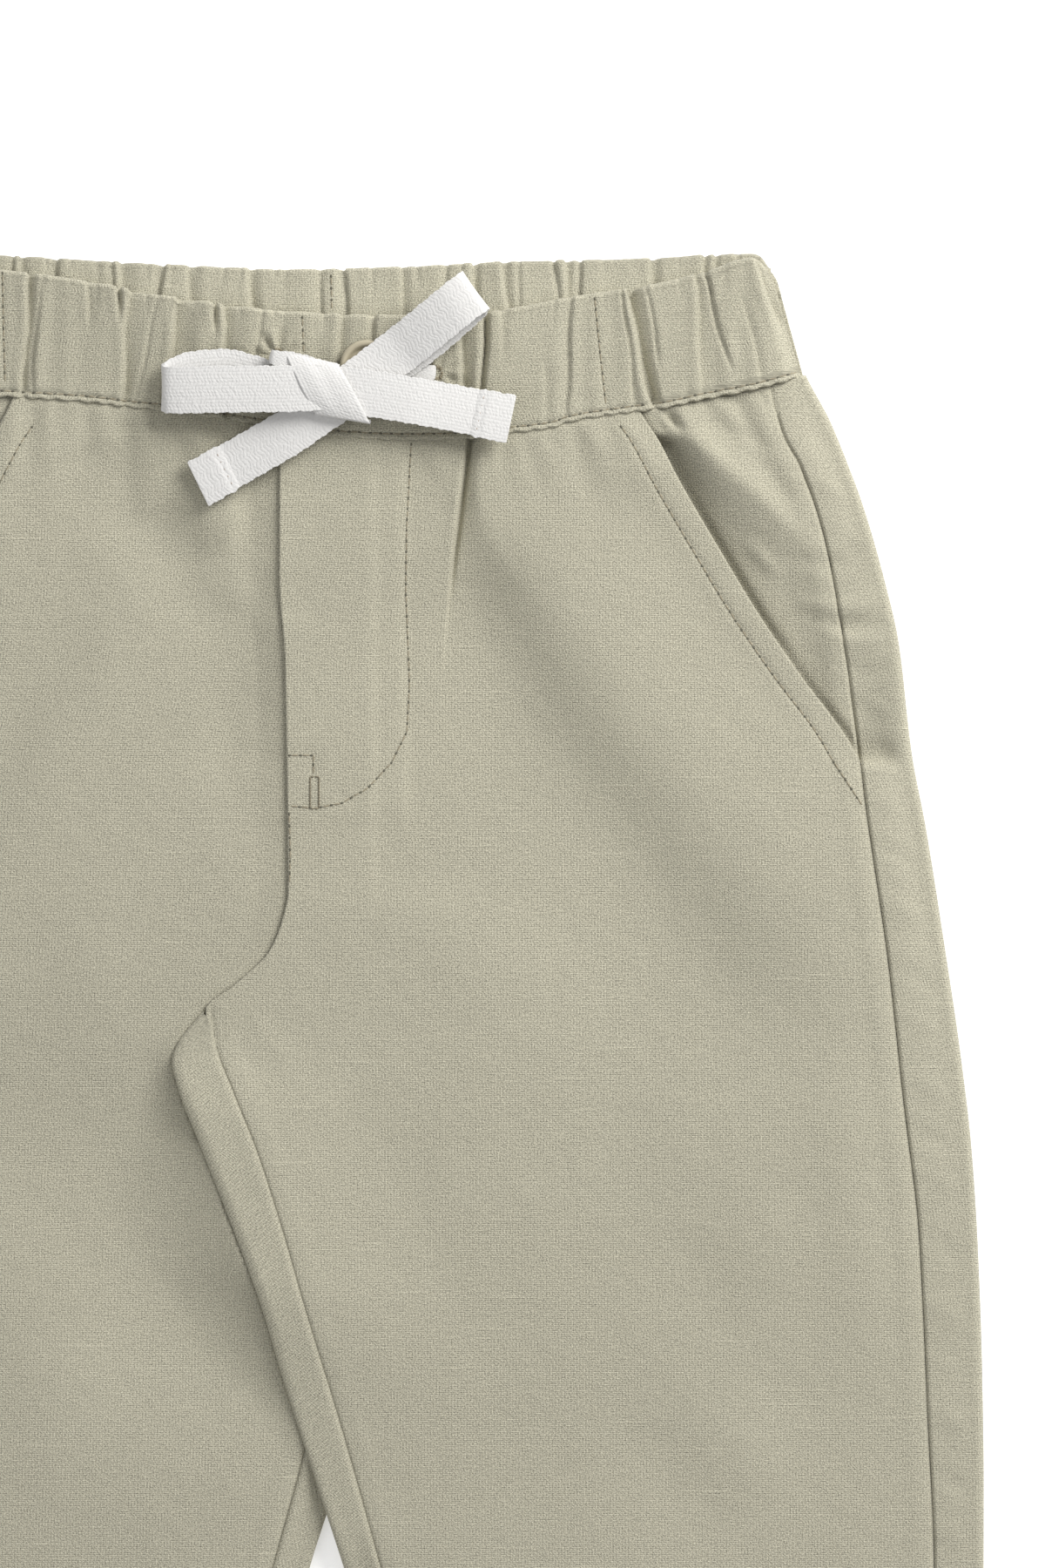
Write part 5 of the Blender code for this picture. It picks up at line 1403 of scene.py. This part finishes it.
def linen_finish():
    """Plain weave with uneven threads, slubs and a soft broken surface."""
    tree = Tree("linen_cloth")
    maths = tree.maths
    place = tree.add("ShaderNodeUVMap", uv_map="weave").outputs[0]
    parts = tree.add("ShaderNodeSeparateXYZ", {"Vector": place})
    u, v = parts.outputs["X"], parts.outputs["Y"]
    u = maths("ADD", u, tree.centred(tree.noise(place, 70.0), 0.0007))
    v = maths("ADD", v, tree.centred(tree.noise(place, 60.0), 0.0005))
    warp = maths("DIVIDE", u, sizes().warp_pitch)
    weft = maths("DIVIDE", v, sizes().weft_pitch)
    warp_wave = maths("SINE", maths("MULTIPLY", warp, math.pi))
    weft_wave = maths("SINE", maths("MULTIPLY", weft, math.pi))
    warp_body = maths("POWER", maths("ABSOLUTE", warp_wave), 0.6)
    weft_body = maths("POWER", maths("ABSOLUTE", weft_wave), 0.6)
    weft_thread = tree.noise(tree.combine(maths("MULTIPLY", u, 190.0), weft), 1.0, 3.0, 0.6)
    warp_thread = tree.noise(tree.combine(warp, maths("MULTIPLY", v, 260.0), 7.0), 1.0, 3.0, 0.6)
    grain = tree.noise(place, 2400.0, 2.0, 0.6)
    over = maths("MULTIPLY_ADD", maths("MULTIPLY", warp_wave, weft_wave), 0.5, 0.5)
    body = maths("ADD", maths("MULTIPLY", weft_body, maths("MULTIPLY_ADD", over, 0.5, 0.35)),
                 maths("MULTIPLY", warp_body, maths("MULTIPLY_ADD", over, -0.5, 0.65)))
    uneven = maths("ADD", tree.centred(weft_thread, 0.6), tree.centred(warp_thread, 0.45))
    uneven = maths("ADD", uneven, tree.centred(grain, 5.2))
    height = maths("ADD", maths("MULTIPLY", body, 0.8), maths("MULTIPLY", uneven, 0.5))
    slub = tree.noise(tree.combine(maths("MULTIPLY", u, 34.0), maths("MULTIPLY", weft, 0.45), 3.0), 1.0, 1.0)
    slub = tree.ramp(slub, 0.66, 0.76)
    height = maths("ADD", height, maths("MULTIPLY", slub, 0.5))
    linen, gap_shade = (*colours().linen, 1.0), (*colours().linen_gap_shade, 1.0)
    # Low places of the weave take the darker gap colour: painted shade between the threads.
    colour = tree.blend(tree.ramp(body, 0.15, 0.75), gap_shade, linen)
    object_place = tree.add("ShaderNodeTexCoord").outputs["Object"]
    tone = maths("ADD", tree.centred(tree.noise(object_place, 14.0, 3.0), 0.12),
                 maths("MULTIPLY", uneven, 0.42))
    tone = maths("ADD", maths("MULTIPLY", slub, 0.10), tone)
    bright = maths("ADD", tone, 1.0)
    colour = tree.blend(1.0, colour, tree.combine(bright, bright, bright), "MULTIPLY")
    tree.put(tree.shader.inputs["Base Color"], colour)
    rumple = tree.noise(object_place, 95.0, 3.0, 0.55)
    soft = tree.bump(rumple, 0.0016, 0.35)
    tree.put(tree.shader.inputs["Normal"], tree.bump(height, 0.00022, 0.75, soft))
    tree.shader.inputs["Roughness"].default_value = 0.88
    tree.shader.inputs["Specular IOR Level"].default_value = 0.25
    tree.shader.inputs["Sheen Weight"].default_value = 0.12
    tree.shader.inputs["Sheen Roughness"].default_value = 0.45
    return tree.material


def tape_finish():
    """Closely woven cotton tape with a fine slanting rib."""
    tree = Tree("cotton_tape_weave")
    maths = tree.maths
    place = tree.add("ShaderNodeUVMap", uv_map="weave").outputs[0]
    parts = tree.add("ShaderNodeSeparateXYZ", {"Vector": place})
    u, v = parts.outputs["X"], parts.outputs["Y"]
    zigzag = maths("PINGPONG", u, 0.0021)
    along = maths("ADD", v, maths("MULTIPLY", zigzag, 0.45))
    along = maths("ADD", along, maths("MULTIPLY", tree.noise(place, 520.0, 3.0), 0.0016))
    rib = maths("ABSOLUTE", maths("SINE", maths("MULTIPLY", along, math.pi / 0.00105)))
    thread = maths("ABSOLUTE", maths("SINE", maths("MULTIPLY", u, math.pi / 0.00095)))
    height = maths("MULTIPLY", maths("POWER", rib, 0.7), maths("MULTIPLY_ADD", thread, 0.75, 0.25))
    fuzz = tree.noise(place, 800.0, 4.0)
    height = maths("ADD", maths("MULTIPLY", height, 0.45), maths("MULTIPLY", fuzz, 1.3))
    tape = (*colours().tape, 1.0)
    shaded = (*shade(colours().tape, 0.94), 1.0)
    colour = tree.blend(tree.ramp(height, 0.3, 0.9), shaded, tape)
    tree.put(tree.shader.inputs["Base Color"], colour)
    tree.put(tree.shader.inputs["Normal"], tree.bump(height, 0.0003, 0.6))
    tree.shader.inputs["Roughness"].default_value = 0.85
    tree.shader.inputs["Specular IOR Level"].default_value = 0.3
    tree.shader.inputs["Sheen Weight"].default_value = 0.15
    return tree.material


def plain_finish(name, colour, roughness, specular):
    """A plain surface with a slight mottle."""
    tree = Tree(name)
    object_place = tree.add("ShaderNodeTexCoord").outputs["Object"]
    mottle = tree.noise(object_place, 450.0, 3.0)
    dark = (*shade(colour, 0.8), 1.0)
    tree.put(tree.shader.inputs["Base Color"], tree.blend(mottle, dark, (*colour, 1.0)))
    tree.shader.inputs["Roughness"].default_value = roughness
    tree.shader.inputs["Specular IOR Level"].default_value = specular
    return tree.material


def finish_named(name):
    """One of the garment's finishes, made once."""
    made = bpy.data.materials.get(name)
    if made is not None:
        return made
    makers = {
        "linen_cloth": linen_finish,
        "cotton_tape_weave": tape_finish,
        # The sewing thread and the bar tack's darker copy of it hold painted shade round the stitches in
        # their colour.
        "sewing_thread_and_shade": lambda: plain_finish("sewing_thread_and_shade", colours().thread, 0.8, 0.3),
        "dark_thread": lambda: plain_finish("dark_thread", shade(colours().thread, 0.72), 0.8, 0.2),
        # A darkened copy of the linen for the marks at the needle holes: painted shadow.
        "painted_stitch_shade": lambda: plain_finish("painted_stitch_shade", shade(colours().linen, 0.34), 1.0, 0.0),
        "tape_thread": lambda: plain_finish("tape_thread", (0.52, 0.44, 0.38), 0.8, 0.3),
        "olive_resin": lambda: plain_finish("olive_resin", colours().button, 0.25, 0.5),
    }
    return makers[name]()


# ---- operators ----

HANDS = (("right", 1), ("left", -1))


class TROUSERS_OT_backs(bpy.types.Operator):
    """Build both backs, turned over the legs' edges"""
    bl_idname = "trousers.backs"
    bl_label = "Backs"

    def execute(self, context):
        for hand, leg in HANDS:
            build_back(hand, leg, finish_named("linen_cloth"))
        return {"FINISHED"}


class TROUSERS_OT_fronts(bpy.types.Operator):
    """Build both fronts with their folds, fly and waist gathers"""
    bl_idname = "trousers.fronts"
    bl_label = "Fronts"

    def execute(self, context):
        for hand, leg in HANDS:
            build_front(hand, leg, finish_named("linen_cloth"))
        return {"FINISHED"}


class TROUSERS_OT_hip_pieces(bpy.types.Operator):
    """Build the hip pieces that show in the pocket openings"""
    bl_idname = "trousers.hip_pieces"
    bl_label = "Hip pieces"

    def execute(self, context):
        for hand, leg in HANDS:
            build_hip_piece(hand, leg, finish_named("linen_cloth"))
        return {"FINISHED"}


class TROUSERS_OT_waistband(bpy.types.Operator):
    """Build the gathered front and back of the waistband"""
    bl_idname = "trousers.waistband"
    bl_label = "Waistband"

    def execute(self, context):
        build_back_band(finish_named("linen_cloth"))
        build_front_band(finish_named("linen_cloth"))
        return {"FINISHED"}


class TROUSERS_OT_sewing(bpy.types.Operator):
    """Build the topstitching, the bar tack and the worked eyelets"""
    bl_idname = "trousers.sewing"
    bl_label = "Sewing"

    def execute(self, context):
        thread = finish_named("sewing_thread_and_shade")
        # The second finish is painted shadow for the needle holes.
        build_topstitching(thread, finish_named("painted_stitch_shade"))
        build_bar_tack(finish_named("dark_thread"))
        build_eyelets(thread)
        return {"FINISHED"}


class TROUSERS_OT_button(bpy.types.Operator):
    """Build the sewn-on button"""
    bl_idname = "trousers.button"
    bl_label = "Button"

    def execute(self, context):
        build_button(finish_named("olive_resin"), finish_named("sewing_thread_and_shade"))
        return {"FINISHED"}


class TROUSERS_OT_drawstring(bpy.types.Operator):
    """Build the tied tape with its loops, tails and knot"""
    bl_idname = "trousers.drawstring"
    bl_label = "Drawstring"

    def execute(self, context):
        build_drawstring(finish_named("cotton_tape_weave"), finish_named("tape_thread"))
        return {"FINISHED"}


def add_area_light(lamp):
    data = bpy.data.lights.new(lamp.name, "AREA")
    data.shape = "DISK"
    data.size = lamp.size
    data.energy = lamp.power
    data.color = lamp.colour
    light = bpy.data.objects.new(lamp.name, data)
    light.location = lamp.place
    light.rotation_euler = (Vector(lamp.aim) - Vector(lamp.place)).to_track_quat("-Z", "Y").to_euler()
    bpy.context.scene.collection.objects.link(light)
    return light


def build_floor():
    work = bmesh.new()
    bmesh.ops.create_grid(work, x_segments=1, y_segments=1, size=FLOOR_SIZE)
    bmesh.ops.translate(work, verts=work.verts[:], vec=(0, 0, -FLOOR_GAP))
    tree = Tree("floor_white")
    tree.shader.inputs["Base Color"].default_value = (0.93, 0.93, 0.93, 1.0)
    tree.shader.inputs["Roughness"].default_value = 1.0
    tree.shader.inputs["Specular IOR Level"].default_value = 0.0
    tree.shader.inputs["Emission Color"].default_value = (1.0, 1.0, 1.0, 1.0)
    tree.shader.inputs["Emission Strength"].default_value = 0.35
    return show_mesh("floor", mesh_from("floor", work), tree.material)


def set_surroundings(scene):
    world = scene.world or bpy.data.worlds.new("surroundings")
    scene.world = world
    world.use_nodes = True
    world.node_tree.nodes["Background"].inputs["Color"].default_value = (1.0, 1.0, 1.0, 1.0)
    world.node_tree.nodes["Background"].inputs["Strength"].default_value = SKY_STRENGTH


def add_camera(scene):
    data = bpy.data.cameras.new("camera")
    data.sensor_width = 36.0
    data.lens = CAMERA_LENS
    data.clip_end = 50.0
    camera = bpy.data.objects.new("camera", data)
    camera.location = (*CAMERA_PLACE, sizes().camera_height)
    scene.collection.objects.link(camera)
    scene.camera = camera


class TROUSERS_OT_stage(bpy.types.Operator):
    """Build the pale floor, the soft light and the camera above the trousers"""
    bl_idname = "trousers.stage"
    bl_label = "Stage"

    def execute(self, context):
        build_floor()
        add_area_light(KEY_LIGHT)
        add_area_light(FILL_LIGHT)
        set_surroundings(context.scene)
        add_camera(context.scene)
        context.scene.view_settings.view_transform = "Standard"
        return {"FINISHED"}


class TROUSERS_PT_build(bpy.types.Panel):
    """The trousers' sizes, colours and building steps"""
    bl_idname = "TROUSERS_PT_build"
    bl_label = "Linen trousers"
    bl_space_type = "VIEW_3D"
    bl_region_type = "UI"
    bl_category = "Trousers"

    def draw(self, context):
        for group in (context.scene.trousers_sizes, context.scene.trousers_colours):
            box = self.layout.box()
            for name in group.__annotations__:
                box.prop(group, name)
        for step in STEPS:
            self.layout.operator(step.bl_idname)


STEPS = (TROUSERS_OT_backs, TROUSERS_OT_fronts, TROUSERS_OT_hip_pieces, TROUSERS_OT_waistband,
         TROUSERS_OT_sewing, TROUSERS_OT_button, TROUSERS_OT_drawstring, TROUSERS_OT_stage)
GROUPS = (TrousersSizes, TrousersColours)


def register():
    for made in (*GROUPS, *STEPS, TROUSERS_PT_build):
        bpy.utils.register_class(made)
    bpy.types.Scene.trousers_sizes = bpy.props.PointerProperty(type=TrousersSizes)
    bpy.types.Scene.trousers_colours = bpy.props.PointerProperty(type=TrousersColours)


def unregister():
    del bpy.types.Scene.trousers_colours
    del bpy.types.Scene.trousers_sizes
    for made in (TROUSERS_PT_build, *reversed(STEPS), *reversed(GROUPS)):
        bpy.utils.unregister_class(made)


def main():
    register()
    bpy.ops.trousers.backs()
    bpy.ops.trousers.fronts()
    bpy.ops.trousers.hip_pieces()
    bpy.ops.trousers.waistband()
    bpy.ops.trousers.sewing()
    bpy.ops.trousers.button()
    bpy.ops.trousers.drawstring()
    bpy.ops.trousers.stage()


if __name__ == "__main__":
    main()
